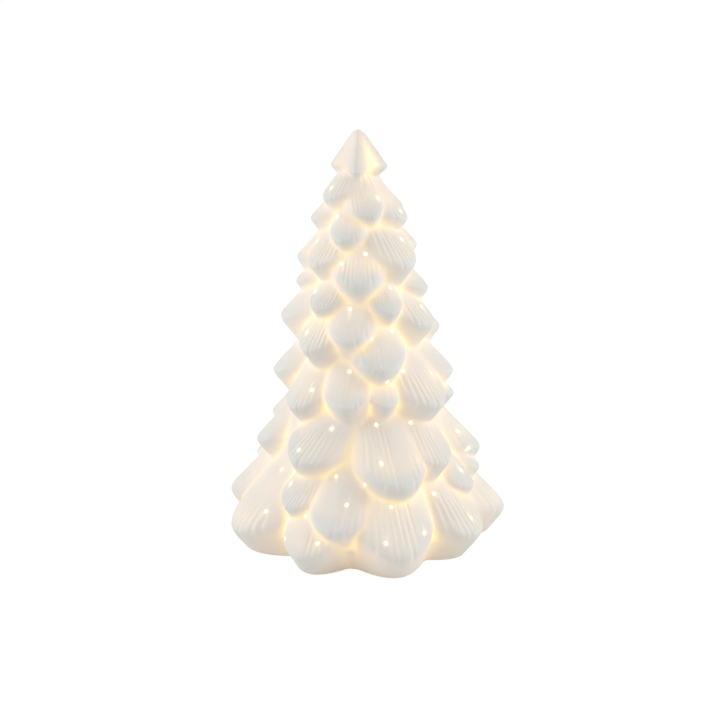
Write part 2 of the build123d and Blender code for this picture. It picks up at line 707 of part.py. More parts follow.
# Slide switch under the board, open below for its knob
with BuildPart() as slide_switch:
    with BuildSketch(Plane.XY.offset(switch_bottom)):
        with Locations((board_x, 0)):
            Rectangle(SWITCH_WIDTH, SWITCH_LENGTH)
    extrude(amount=SWITCH_HEIGHT)
    with BuildSketch(Plane.XY.offset(switch_bottom)):
        with Locations((board_x, 0)):
            Rectangle(KNOB_BLOCK_WIDTH + 2 * KNOB_GAP, KNOB_BLOCK_LENGTH + SWITCH_TRAVEL + 2 * KNOB_GAP)
    extrude(amount=KNOB_BLOCK_HEIGHT + 2 * KNOB_GAP, mode=Mode.SUBTRACT)
slide_switch.part.label = "slide_switch"

# Switch knob at its lit end
with BuildPart() as switch_knob:
    with BuildSketch(Plane.XY.offset(switch_bottom + KNOB_GAP)):
        with Locations((board_x, knob_y)):
            Rectangle(KNOB_BLOCK_WIDTH, KNOB_BLOCK_LENGTH)
    extrude(amount=KNOB_BLOCK_HEIGHT)
    with BuildSketch(Plane.XY.offset(flange_bottom - KNOB_PROUD)):
        with Locations((board_x, knob_y)):
            Rectangle(KNOB_WIDTH, KNOB_LENGTH)
    extrude(until=Until.NEXT)
    with BuildSketch(Plane.XY.offset(flange_bottom - KNOB_PROUD)):
        for step in (-1, 0, 1):
            with Locations((board_x, knob_y + 2 * step * KNOB_RIDGE)):
                Rectangle(KNOB_WIDTH, KNOB_RIDGE)
    extrude(amount=KNOB_RIDGE, mode=Mode.SUBTRACT)
switch_knob.part.label = "switch_knob"

# Parts soldered on top of the board
with BuildPart() as timer_chip:
    with Locations((board_x, 0, board_top)):
        Box(*CHIP_SIZE, align=(Align.CENTER, Align.CENTER, Align.MIN))
    chamfer(edges().group_by(Axis.Z)[-1], CHIP_CHAMFER)
timer_chip.part.label = "timer_chip"

with BuildPart() as timer_crystal:
    with BuildSketch(Plane.XZ.offset(-CRYSTAL_LENGTH / 2)):
        with Locations((board_x + BOARD_WIDTH / 2 - 1.5 * CRYSTAL_RADIUS, board_top + CRYSTAL_RADIUS)):
            Circle(CRYSTAL_RADIUS)
    extrude(amount=CRYSTAL_LENGTH)
    fillet(edges().filter_by(GeomType.CIRCLE), CRYSTAL_EDGE)
timer_crystal.part.label = "timer_crystal"

with BuildPart() as series_resistor:
    with BuildSketch(Plane.XZ.offset(-RESISTOR_LENGTH / 2)):
        with Locations((lead_pad_x, board_top + RESISTOR_RADIUS)):
            Circle(RESISTOR_RADIUS)
    extrude(amount=RESISTOR_LENGTH)
    fillet(edges().filter_by(GeomType.CIRCLE), RESISTOR_EDGE)
series_resistor.part.label = "series_resistor"


def make_screw(spot, seat_height):
    """A pan-head screw whose head sits on seat_height, with a cross recess."""
    with BuildPart() as screw:
        with BuildSketch(Plane(origin=(spot.X, spot.Y, seat_height))):
            Circle(SCREW_HEAD_RADIUS)
        extrude(amount=SCREW_HEAD_HEIGHT)
        fillet(edges().group_by(Axis.Z)[-1], SCREW_HEAD_EDGE)
        with BuildSketch(Plane(origin=(spot.X, spot.Y, seat_height + SCREW_HEAD_HEIGHT))):
            Rectangle(SCREW_SLOT_LENGTH, SCREW_SLOT_WIDTH)
            Rectangle(SCREW_SLOT_WIDTH, SCREW_SLOT_LENGTH)
        extrude(amount=-SCREW_HEAD_HEIGHT / 2, mode=Mode.SUBTRACT)
        with BuildSketch(Plane(origin=(spot.X, spot.Y, seat_height))):
            Circle(SCREW_RADIUS)
        extrude(amount=-SCREW_LENGTH)
    return screw.part


with BuildPart() as board_screws:
    add([make_screw(spot, board_top) for spot in board_boss_spots])
board_screws.part.label = "board_screws"

# Cover over the housing, with the socket that holds the light tube
with BuildPart() as top_cover:
    with BuildSketch(Plane.XY.offset(housing_top)):
        Circle(housing_radius)
    extrude(amount=COVER_THICKNESS)
    fillet(edges().group_by(Axis.Z)[-1], COVER_EDGE)
    with BuildSketch(Plane.XY.offset(cover_top)):
        Circle(TUBE_RADIUS + SOCKET_CLEARANCE + SOCKET_WALL)
        Circle(TUBE_RADIUS + SOCKET_CLEARANCE, mode=Mode.SUBTRACT)
    extrude(amount=SOCKET_HEIGHT)
    with BuildSketch(Plane.XY.offset(housing_top)):
        Circle(WIRE_HOLE_RADIUS)
        with Locations(*cover_boss_spots):
            Circle(SCREW_RADIUS + SCREW_CLEARANCE)
    extrude(amount=COVER_THICKNESS, mode=Mode.SUBTRACT)
    with BuildSketch(Plane.XY.offset(cover_top)):
        with Locations(*cover_boss_spots):
            Circle(SCREW_HEAD_RADIUS + SCREW_HEAD_GAP)
    extrude(amount=-COVER_SINK, mode=Mode.SUBTRACT)
top_cover.part.label = "top_cover"

with BuildPart() as cover_screws:
    add([make_screw(spot, cover_top - COVER_SINK) for spot in cover_boss_spots])
cover_screws.part.label = "cover_screws"

# Light tube with the lit strip inside it
with BuildPart() as light_tube:
    with BuildSketch(Plane.XY.offset(cover_top)):
        Circle(TUBE_RADIUS)
        Circle(TUBE_RADIUS - TUBE_WALL, mode=Mode.SUBTRACT)
    extrude(amount=tube_top - cover_top)
light_tube.part.label = "light_tube"

with BuildPart() as led_strip_board:
    with Locations((0, 0, cover_top)):
        Box(
            STRIP_THICKNESS,
            STRIP_WIDTH,
            strip_top - cover_top,
            align=(Align.CENTER, Align.CENTER, Align.MIN),
        )
led_strip_board.part.label = "led_strip_board"

led_step = (strip_top - cover_top - 2 * LED_FIRST_ABOVE_COVER) / (LED_COUNT - 1)
with BuildPart() as strip_leds:
    for index in range(LED_COUNT):
        side = 1 if index % 2 == 0 else -1
        offset = side * (STRIP_THICKNESS + LED_SIZE[0]) / 2
        with Locations((offset, 0, cover_top + LED_FIRST_ABOVE_COVER + index * led_step)):
            Box(*LED_SIZE)
strip_leds.part.label = "strip_leds"

with BuildPart() as tube_cap:
    with BuildSketch(Plane.XY.offset(tube_top - CAP_PLUG_LENGTH)):
        Circle(TUBE_RADIUS - TUBE_WALL - CAP_CLEARANCE)
    extrude(amount=CAP_PLUG_LENGTH)
    with BuildSketch(Plane.XY.offset(tube_top)):
        Circle(TUBE_RADIUS)
    extrude(amount=CAP_FLANGE)
    with BuildSketch(Plane.XY.offset(tube_top - CAP_PLUG_LENGTH)):
        Circle(CAP_BORE_RADIUS)
    extrude(amount=CAP_PLUG_LENGTH + CAP_FLANGE, mode=Mode.SUBTRACT)
tube_cap.part.label = "tube_cap"

# Domed lamp on the cap; its two legs straddle the strip
dome_seat = tube_top + CAP_FLANGE
leg_offset = STRIP_THICKNESS / 2 + LEG_RADIUS + LEG_GAP
with BuildPart() as top_led:
    with BuildSketch(Plane.XZ):
        with BuildLine():
            Polyline(
                (0, dome_seat + DOME_FLANGE_HEIGHT + DOME_BODY_HEIGHT + DOME_RADIUS),
                (0, dome_seat),
                (DOME_FLANGE_RADIUS, dome_seat),
                (DOME_FLANGE_RADIUS, dome_seat + DOME_FLANGE_HEIGHT),
                (DOME_RADIUS, dome_seat + DOME_FLANGE_HEIGHT),
                (DOME_RADIUS, dome_seat + DOME_FLANGE_HEIGHT + DOME_BODY_HEIGHT),
            )
            RadiusArc(
                (DOME_RADIUS, dome_seat + DOME_FLANGE_HEIGHT + DOME_BODY_HEIGHT),
                (0, dome_seat + DOME_FLANGE_HEIGHT + DOME_BODY_HEIGHT + DOME_RADIUS),
                -DOME_RADIUS,
            )
        make_face()
    revolve(axis=Axis.Z)
    with BuildSketch(Plane.XY.offset(strip_top - LEG_OVERLAP)):
        with Locations((-leg_offset, 0), (leg_offset, 0)):
            Circle(LEG_RADIUS)
    extrude(amount=dome_seat - strip_top + LEG_OVERLAP)
top_led.part.label = "top_led"


def make_wire(*points):
    """An insulated lead along straight runs with rounded bends."""
    with BuildPart() as wire:
        with BuildLine() as path:
            FilletPolyline(*points, radius=WIRE_BEND)
        with BuildSketch(Plane(origin=path.line @ 0, z_dir=path.line % 0)):
            Circle(WIRE_RADIUS)
        sweep(path=path.line)
    return wire.part


# Leads from the board up to the strip, and from the bay to the board
lead_x = STRIP_THICKNESS / 2 + WIRE_RADIUS + LEG_GAP
lead_level = roof_top + WIRE_SPACE / 2
lead_out = bay_half_length + WIRE_BEND

with BuildPart() as lamp_wire_red:
    add(make_wire(
        (lead_pad_x, LAMP_PAD_Y, board_top),
        (lead_pad_x, LAMP_PAD_Y, lead_level),
        (lead_x, LAMP_LEAD_Y, lead_level),
        (lead_x, LAMP_LEAD_Y, cover_top + LAMP_WIRE_OVERLAP),
    ))
lamp_wire_red.part.label = "lamp_wire_red"

with BuildPart() as lamp_wire_black:
    add(make_wire(
        (lead_pad_x, -LAMP_PAD_Y, board_top),
        (lead_pad_x, -LAMP_PAD_Y, lead_level),
        (lead_x, -LAMP_LEAD_Y, lead_level),
        (lead_x, -LAMP_LEAD_Y, cover_top + LAMP_WIRE_OVERLAP),
    ))
lamp_wire_black.part.label = "lamp_wire_black"

with BuildPart() as battery_wire_red:
    add(make_wire(
        (cell_pitch, bay_length / 2, lead_exit_height),
        (cell_pitch, lead_out, lead_exit_height),
        (cell_pitch, lead_out, lead_level),
        (lead_pad_x, BATTERY_PAD_Y, lead_level),
        (lead_pad_x, BATTERY_PAD_Y, board_top),
    ))
battery_wire_red.part.label = "battery_wire_red"

with BuildPart() as battery_wire_black:
    add(make_wire(
        (-cell_pitch, -bay_length / 2, lead_exit_height),
        (-cell_pitch, -lead_out, lead_exit_height),
        (-cell_pitch, -lead_out, lead_level),
        (lead_pad_x, -BATTERY_PAD_Y, lead_level),
        (lead_pad_x, -BATTERY_PAD_Y, board_top),
    ))
battery_wire_black.part.label = "battery_wire_black"

# One STEP file for each piece
os.makedirs("parts", exist_ok=True)
export_step(porcelain_shell.part, "parts/porcelain_shell.step")
export_step(sealing_ring.part, "parts/sealing_ring.step")
export_step(base_housing.part, "parts/base_housing.step")
export_step(battery_door.part, "parts/battery_door.step")
export_step(left_cell.part, "parts/left_cell.step")
export_step(middle_cell.part, "parts/middle_cell.step")
export_step(right_cell.part, "parts/right_cell.step")
export_step(negative_terminal.part, "parts/negative_terminal.step")
export_step(positive_terminal.part, "parts/positive_terminal.step")
export_step(rear_link.part, "parts/rear_link.step")
export_step(front_link.part, "parts/front_link.step")
export_step(control_board.part, "parts/control_board.step")
export_step(slide_switch.part, "parts/slide_switch.step")
export_step(switch_knob.part, "parts/switch_knob.step")
export_step(timer_chip.part, "parts/timer_chip.step")
export_step(timer_crystal.part, "parts/timer_crystal.step")
export_step(series_resistor.part, "parts/series_resistor.step")
export_step(board_screws.part, "parts/board_screws.step")
export_step(top_cover.part, "parts/top_cover.step")
export_step(cover_screws.part, "parts/cover_screws.step")
export_step(light_tube.part, "parts/light_tube.step")
export_step(led_strip_board.part, "parts/led_strip_board.step")
export_step(strip_leds.part, "parts/strip_leds.step")
export_step(tube_cap.part, "parts/tube_cap.step")
export_step(top_led.part, "parts/top_led.step")
export_step(lamp_wire_red.part, "parts/lamp_wire_red.step")
export_step(lamp_wire_black.part, "parts/lamp_wire_black.step")
export_step(battery_wire_red.part, "parts/battery_wire_red.step")
export_step(battery_wire_black.part, "parts/battery_wire_black.step")
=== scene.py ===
"""Ceramic Christmas tree, lit from inside by a battery lamp in its foot.

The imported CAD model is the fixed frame. The porcelain tree is remodelled as one carved surface with
its light holes pierced through, the lamp insert keeps its CAD solids and gets its finishes, and a white
studio with a camera at the photograph's angle goes round them.
"""
import json
import logging
import math
from dataclasses import dataclass
from enum import Enum
from typing import Any, Mapping, Optional, Sequence

import bpy
import numpy as np
from bpy.types import Material, Mesh, Node, NodeSocket, NodeTree, Object
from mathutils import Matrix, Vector


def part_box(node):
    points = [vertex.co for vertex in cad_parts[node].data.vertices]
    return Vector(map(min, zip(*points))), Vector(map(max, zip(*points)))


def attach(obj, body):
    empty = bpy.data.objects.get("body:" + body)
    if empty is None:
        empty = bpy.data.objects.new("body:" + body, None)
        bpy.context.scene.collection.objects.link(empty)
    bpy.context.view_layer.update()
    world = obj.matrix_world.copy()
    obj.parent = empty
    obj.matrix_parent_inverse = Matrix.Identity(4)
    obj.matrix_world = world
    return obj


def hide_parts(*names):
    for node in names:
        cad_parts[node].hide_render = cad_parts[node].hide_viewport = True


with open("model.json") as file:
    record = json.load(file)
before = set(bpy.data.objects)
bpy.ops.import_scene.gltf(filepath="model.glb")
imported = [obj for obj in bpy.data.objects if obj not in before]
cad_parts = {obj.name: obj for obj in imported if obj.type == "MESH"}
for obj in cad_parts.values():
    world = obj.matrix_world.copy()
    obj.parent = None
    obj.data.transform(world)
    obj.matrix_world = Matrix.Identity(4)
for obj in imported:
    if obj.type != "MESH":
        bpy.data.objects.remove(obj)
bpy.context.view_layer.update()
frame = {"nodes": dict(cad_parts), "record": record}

LOG = logging.getLogger("ceramic_tree")
MM = 0.001
# Sockets of a Mix node that mixes colours, which share their names with its other sockets
MIX_FACTOR = 0
MIX_FIRST = 6
MIX_SECOND = 7
MIX_RESULT = 2
# Period of a wave texture of scale 1
WAVE_PERIOD = 2.0 * math.pi / 20.0
WHITE = (1.0, 1.0, 1.0, 1.0)

Colour = tuple[float, float, float, float]
Inputs = Mapping[Any, Any]


def linear(hex_colour: str) -> Colour:
    """Turn an sRGB hex colour into linear RGBA.

    Args:
        hex_colour: Six hex digits, such as "EDE4DA".

    Returns:
        The linear colour with an alpha of 1.
    """
    levels = [int(hex_colour[i:i + 2], 16) / 255 for i in (0, 2, 4)]
    red, green, blue = [
        level / 12.92 if level <= 0.04045 else ((level + 0.055) / 1.055) ** 2.4
        for level in levels
    ]
    return red, green, blue, 1.0


def connect(tree: NodeTree, node: Node, inputs: Inputs) -> None:
    """Set a node's inputs, and link those that are given as output sockets.

    Args:
        tree: Node tree of a material or a world.
        node: The node.
        inputs: Values or output sockets by input name or number.
    """
    for socket, value in inputs.items():
        if isinstance(value, NodeSocket):
            tree.links.new(value, node.inputs[socket])
        else:
            node.inputs[socket].default_value = value


def add_node(
    tree: NodeTree,
    kind: str,
    inputs: Optional[Inputs] = None,
    stops: Sequence[tuple[float, Colour]] = (),
    **settings: Any,
) -> Node:
    """Add a shader node with its settings, inputs and links.

    Args:
        tree: Node tree of a material or a world.
        kind: Blender's name for the node type, after its ShaderNode.
        inputs: Values or output sockets by input name or number.
        stops: Places and colours of a colour ramp.
        **settings: Properties of the node.

    Returns:
        The new node.
    """
    made = tree.nodes.new("ShaderNode" + kind)
    for name, value in settings.items():
        setattr(made, name, value)
    for index, (place, colour) in enumerate(stops):
        elements = made.color_ramp.elements
        element = elements[index] if index < len(elements) else elements.new(place)
        element.position = place
        element.color = colour
    connect(tree, made, inputs or {})
    return made


def new_material(name: str) -> tuple[Material, Node, NodeSocket]:
    """Start a material.

    Args:
        name: The material's name.

    Returns:
        The material, its Principled node and its Object coordinates.
    """
    made = bpy.data.materials.new(name)
    made.use_nodes = True
    place = add_node(made.node_tree, "TexCoord").outputs["Object"]
    return made, made.node_tree.nodes["Principled BSDF"], place


def show(made: Object) -> None:
    """Put an object in the scene."""
    bpy.context.scene.collection.objects.link(made)


def per_metre(size_mm: float) -> float:
    """Noise scale whose features are about size_mm across, in a scene in metres."""
    return 1.0 / (size_mm * MM)


def smooth_step(low: float, high: float, value: np.ndarray) -> np.ndarray:
    """Rise from 0 at low to 1 at high along 3 s^2 - 2 s^3."""
    share = np.clip((value - low) / (high - low), 0.0, 1.0)
    return share * share * (3.0 - 2.0 * share)


class Carving(Enum):
    """Where needle grooves are carved on a branch.

    Each patch is (left, right, low, high): left and right across the branch, where -1 and 1 are its
    edges, and low and high along it, in half widths above its rim.
    """

    SMOOTH = ()
    WHOLE = ((-0.85, 0.85, -0.05, 0.90),)
    LOWER = ((-0.75, 0.75, -0.10, 0.55),)
    LEFT = ((-0.90, 0.05, -0.05, 1.00),)
    RIGHT = ((-0.05, 0.90, -0.05, 1.00),)
    LOWER_LEFT = ((-0.80, 0.05, -0.10, 0.50),)
    LOWER_RIGHT = ((0.05, 0.85, -0.10, 0.50),)
    MOST_LEFT = ((-0.90, 0.45, 0.00, 1.10),)
    MOST_RIGHT = ((-0.45, 0.90, 0.00, 1.10),)
    LONG_LEFT = ((-0.92, -0.08, 0.00, 1.55), (0.25, 0.85, -0.10, 0.45))


@dataclass(frozen=True)
class Branch:
    """One branch lobe, in millimetres and degrees, placed as the CAD model places it."""

    azimuth: float
    tip_height: float
    half_width: float
    lean: float
    holes: tuple[tuple[float, float], ...]
    carving: Carving


# Each tier: the height of its branch tips, then its branches as (azimuth from the front towards the
# right, lift above the tier, half width, lean of the top to the right, light holes, carving).
# A light hole is (across to the right, up from the tip) on the branch's face. The first tier is the
# crown, which PorcelainShell shapes as one piece, so that only the light holes of its branches count.
TIERS = (
    (202.0, (
        (-100, 0, 10, 0, (), Carving.SMOOTH),
        (-10, 0, 10, 0, (), Carving.SMOOTH),
        (72, 0, 10, 0, ((-4, 4),), Carving.SMOOTH),
        (165, 0, 10, 0, ((0, 6),), Carving.LOWER),
    )),
    (185.0, (
        (-63, 2, 10, 0, ((0.5, 6.5),), Carving.RIGHT),
        (18, -4, 10, -10, ((6.5, 8.5),), Carving.LEFT),
        (94, -4, 9, 0, (), Carving.LOWER_LEFT),
        (160, 0, 10, 0, ((1, 6),), Carving.WHOLE),
        (-135, 0, 10, 0, ((-2, 6),), Carving.RIGHT),
    )),
    (174.0, (
        (-95, 0, 11, 0, (), Carving.SMOOTH),
        (-21, -5, 10, 0, ((-6, 12.5),), Carving.LOWER_RIGHT),
        (76, 2, 11.5, 0, ((-2, 5),), Carving.LOWER),
        (130, 0, 11, 0, ((2, 6),), Carving.LEFT),
        (-165, 0, 11, 0, ((0, 7),), Carving.WHOLE),
    )),
    (157.0, (
        (-52, -2, 12.5, 0, ((-8, 12),), Carving.MOST_RIGHT),
        (-3, -9, 14.5, 0, ((3.5, 17), (-8.5, 12)), Carving.WHOLE),
        (51, -2, 15.5, 0, ((4.5, 14),), Carving.MOST_LEFT),
        (118, 0, 14, 0, ((3, 9),), Carving.LOWER),
        (178, 0, 14, 0, ((-4, 9), (6, 4)), Carving.WHOLE),
        (-103, -5, 15, 0, ((2, 8),), Carving.SMOOTH),
    )),
    (140.0, (
        (-44, -6, 10, 12, ((-6.5, 7),), Carving.RIGHT),
        (28, -7, 9.5, 0, ((3, 13.5),), Carving.LEFT),
        (84, -2, 11, 0, (), Carving.SMOOTH),
        (145, 0, 9, 0, ((0, 7),), Carving.WHOLE),
        (-155, 0, 10, 0, ((2, 7),), Carving.LEFT),
        (-95, 0, 10, 0, (), Carving.LOWER_RIGHT),
    )),
    (122.0, (
        (-93, -1, 18, 0, (), Carving.SMOOTH),
        (-11, -2, 13.5, 0, ((-0.5, 17.5),), Carving.LOWER_RIGHT),
        (66, 0, 14, 0, ((1, 10.5),), Carving.LEFT),
        (140, 0, 15, 0, ((3, 10),), Carving.LEFT),
        (-160, 0, 15, 0, ((-3, 9),), Carving.MOST_RIGHT),
    )),
    (114.0, (
        (-43, -1, 14, 0, ((-5, 9),), Carving.MOST_RIGHT),
        (15, -8, 15.5, 0, ((-4, 17), (8, 20)), Carving.LOWER_LEFT),
        (100, 0, 13, 0, ((0, 8),), Carving.WHOLE),
        (175, 0, 13, 0, ((-3, 8),), Carving.LOWER),
        (-125, 0, 13, 0, ((3, 8),), Carving.RIGHT),
    )),
    (92.0, (
        (-88, 0, 14, 0, (), Carving.SMOOTH),
        (-12, -5, 14, 0, ((0.5, 19.5),), Carving.LOWER_RIGHT),
        (16, -5, 9, 0, ((1.5, 13),), Carving.LOWER),
        (86, 0, 15, 0, (), Carving.SMOOTH),
        (125, 2, 9, 0, ((0, 6),), Carving.LOWER),
        (165, 0, 15, 0, ((-4, 9),), Carving.MOST_LEFT),
        (-140, 0, 15, 0, ((4, 9),), Carving.WHOLE),
    )),
    (84.0, (
        (-48, -1, 14, 0, ((6.5, 11.5),), Carving.LOWER_RIGHT),
        (51, 0, 18, 0, ((-10, 22), (7, 16)), Carving.WHOLE),
        (84, -4, 9, 0, (), Carving.SMOOTH),
        (132, 0, 12, 0, ((0, 8),), Carving.RIGHT),
        (-165, 0, 10, 0, ((0, 7),), Carving.LOWER),
        (-112, 0, 10, 0, (), Carving.SMOOTH),
    )),
    (56.0, (
        (-84, -2, 11, 0, (), Carving.SMOOTH),
        (-38, 2, 16, 18, ((5.5, 23.5), (-1.5, 6.5)), Carving.MOST_RIGHT),
        (19, -7, 20, -3, ((-5.5, 33.5), (-8.5, 14.5)), Carving.LONG_LEFT),
        (45, -1, 15, 0, ((-7, 24.5),), Carving.MOST_LEFT),
        (93, -10, 16, 0, ((-9, 16), (-12, 6)), Carving.LEFT),
        (140, 0, 17, 0, ((3, 10), (-5, 4)), Carving.WHOLE),
        (-170, 2, 18, 0, ((-3, 12),), Carving.LONG_LEFT),
        (-125, 0, 15, 0, ((2, 10),), Carving.RIGHT),
    )),
    (35.0, (
        (-39, -1, 12, 12, ((-6.5, 10.5),), Carving.MOST_RIGHT),
        (-15, -8, 18, 8, ((-6, 28), (9.5, 27.5), (4, 16)), Carving.LOWER_RIGHT),
        (64, 1, 11, 0, ((-0.5, 10),), Carving.LOWER),
        (84, 3, 10, 0, (), Carving.SMOOTH),
        (117, 0, 16, 0, ((0, 12),), Carving.MOST_LEFT),
        (162, 0, 16, 0, ((4, 10),), Carving.RIGHT),
        (-150, 0, 15, 0, ((-4, 10),), Carving.WHOLE),
        (-117, -2, 14, 0, ((2, 9),), Carving.LOWER),
    )),
    (15.0, (
        (-97, 4, 21, 0, (), Carving.LOWER_RIGHT),
        (-66, -2, 23, 0, ((13.5, 17), (5, 38)), Carving.LOWER),
        (-27, -2, 18, 0, ((-4, 20.5), (7, 9), (-13.5, 7)), Carving.LOWER_RIGHT),
        (15, 1, 23, 0, ((-2, 26), (-8, 9), (13.5, 11.5)), Carving.MOST_LEFT),
        (53, 1, 19, 0, ((-10.5, 27), (1, 9)), Carving.MOST_LEFT),
        (90, -3, 22, 0, (), Carving.LOWER_LEFT),
        (137, 0, 21, 0, ((3, 12), (-10, 5)), Carving.WHOLE),
        (-178, 0, 21, 0, ((-5, 14), (9, 5)), Carving.MOST_RIGHT),
        (-136, 0, 20, 0, ((2, 12),), Carving.LOWER),
    )),
)


def branches() -> list[Branch]:
    """Every branch of the tree, from the crown down."""
    return [
        Branch(azimuth, tier_height + lift, half_width, lean, holes, carving)
        for tier_height, tier in TIERS
        for azimuth, lift, half_width, lean, holes, carving in tier
    ]


@dataclass(frozen=True)
class BisquePorcelain:
    """Unglazed white porcelain, slip-cast and fired, with a warm lamp behind it.

    It gives the eye a chalky white without gloss. Lamp light through the thin places in the crevices is
    painted on as a cream emission and a cream tint of the colour, and the thick tips are painted a cool
    grey white as painted shade.
    """

    name: str = "bisque_porcelain"
    body: str = "EAE3DA"
    # Cool grey painted on the thick branch tips: painted shade where little lamp light comes through
    tip: str = "DFDFDA"
    # Cream painted into the colour where the lamp glow is strong: painted light
    thin: str = "F1E2C4"
    painted_light_from: float = 0.12
    painted_light_full: float = 0.45
    glow_stops: tuple[tuple[float, str], ...] = ((0.05, "FFC264"), (0.28, "FFD978"), (0.55, "FFEAB0"))
    roughness: tuple[float, float] = (0.56, 0.70)
    specular: float = 0.35
    mottle: tuple[float, float] = (0.96, 1.03)
    mottle_mm: float = 16.0
    grain_mm: float = 0.5
    grain_depth_mm: float = 0.05
    grain_strength: float = 0.12

    def material(self) -> Material:
        """Make the material from the piece's own glow and tip attributes: painted lamp light and the painted
        shade of the tips.

        Returns:
            The material.
        """
        made, shader, place = new_material(self.name)
        tree = made.node_tree
        glow = add_node(tree, "Attribute", attribute_name="glow").outputs["Fac"]
        tip = add_node(tree, "Attribute", attribute_name="tip").outputs["Fac"]
        mottle = add_node(tree, "TexNoise", {
            "Vector": place, "Scale": per_metre(self.mottle_mm), "Detail": 3.0})
        grain = add_node(tree, "TexNoise", {
            "Vector": place, "Scale": per_metre(self.grain_mm), "Detail": 2.0})
        # Painted shade: the body tone turns to the cool grey of the tips where the tip attribute is high
        clay_and_painted_shade = add_node(tree, "Mix", {
            MIX_FACTOR: tip, MIX_FIRST: linear(self.body), MIX_SECOND: linear(self.tip)}, data_type="RGBA")
        # Painted light: the colour turns cream where the glow is strong
        painted_light_share = add_node(tree, "MapRange", {
            "Value": glow, "From Min": self.painted_light_from, "From Max": self.painted_light_full})
        wall = add_node(tree, "Mix", {
            MIX_FACTOR: painted_light_share.outputs[0], MIX_FIRST: clay_and_painted_shade.outputs[MIX_RESULT],
            MIX_SECOND: linear(self.thin)}, data_type="RGBA")
        cloud = add_node(tree, "MapRange", {
            "Value": mottle.outputs["Fac"], "To Min": self.mottle[0], "To Max": self.mottle[1]})
        base_with_painted_light_and_shade = add_node(tree, "Mix", {
            MIX_FACTOR: 1.0, MIX_FIRST: wall.outputs[MIX_RESULT], MIX_SECOND: cloud.outputs[0]},
            data_type="RGBA", blend_type="MULTIPLY")
        rough = add_node(tree, "MapRange", {
            "Value": grain.outputs["Fac"], "To Min": self.roughness[0], "To Max": self.roughness[1]})
        # Painted light: a warm emission from the glow attribute stands in for lamp light through the wall
        hue = add_node(tree, "ValToRGB", {0: glow},
                       [(level, linear(colour)) for level, colour in self.glow_stops])
        light = add_node(tree, "Mix", {
            MIX_FACTOR: 1.0, MIX_FIRST: hue.outputs[0], MIX_SECOND: glow},
            data_type="RGBA", blend_type="MULTIPLY")
        bump = add_node(tree, "Bump", {
            "Height": grain.outputs["Fac"], "Strength": self.grain_strength,
            "Distance": self.grain_depth_mm * MM})
        connect(tree, shader, {
            "Base Color": base_with_painted_light_and_shade.outputs[MIX_RESULT], "Roughness": rough.outputs[0],
            "Emission Color": light.outputs[MIX_RESULT], "Emission Strength": 1.0,
            "Specular IOR Level": self.specular, "Normal": bump.outputs["Normal"]})
        return made


@dataclass(frozen=True)
class LitBore:
    """Raw porcelain inside a pierced hole, flooded by the lamp behind it.

    It gives the eye a small spot of painted cream light, a little deeper in places by a fine noise.
    """

    name: str = "lit_bisque_bore"
    body: str = "EFE6D8"
    bright: str = "FFF1CF"
    deep: str = "FFE3AE"
    roughness: float = 0.7
    grain_mm: float = 0.8

    def material(self) -> Material:
        """Make the material, a grain of two cream lights.

        Returns:
            The material.
        """
        made, shader, place = new_material(self.name)
        tree = made.node_tree
        grain = add_node(tree, "TexNoise", {"Vector": place, "Scale": per_metre(self.grain_mm)})
        light = add_node(tree, "Mix", {
            MIX_FACTOR: grain.outputs["Fac"], MIX_FIRST: linear(self.bright),
            MIX_SECOND: linear(self.deep)}, data_type="RGBA")
        connect(tree, shader, {
            "Base Color": linear(self.body), "Roughness": self.roughness,
            "Emission Color": light.outputs[MIX_RESULT], "Emission Strength": 1.0})
        return made


@dataclass(frozen=True)
class LampGlow:
    """How the lamp shows through the porcelain, painted as emission: light levels, with lengths in
    millimetres.

    A place's painted light is a least light, more on the body of a branch, most in a crevice, and a halo
    round each light hole. One patch on the right face of the crown is painted bright, and thick tips get a
    painted cool shade.
    """

    map_rows: int = 360
    map_columns: int = 720
    least: float = 0.01
    body: float = 0.06
    body_reach: float = 5.0
    body_depth: float = 2.8
    # Where the painted shade of the tips starts and is full, in the wide relief
    painted_shade_start: float = -0.1
    painted_shade_full: float = 0.6
    crevice: float = 0.32
    crevice_reach: float = 2.3
    crevice_depth: float = 1.6
    crevice_limit: float = 1.2
    crevice_power: float = 1.3
    crown_dim: float = 0.7
    crown_from: float = 188.0
    crown_full: float = 200.0
    # A painted pool of bright light on the right face of the crown
    patch: float = 0.46
    patch_azimuth: float = math.radians(40.0)
    patch_width: float = math.radians(19.0)
    patch_height: float = 206.0
    patch_length: float = 8.0
    groove: float = 0.1
    groove_limit: float = 1.0
    halo: float = 0.3
    halo_reach: float = 0.9
    halo_depth: float = 10.0
    inside: float = 1.0
    inside_margin: float = 0.4
    inside_from: float = 6.0
    bore_slack: float = 1.04
    bore_margin: float = 0.1


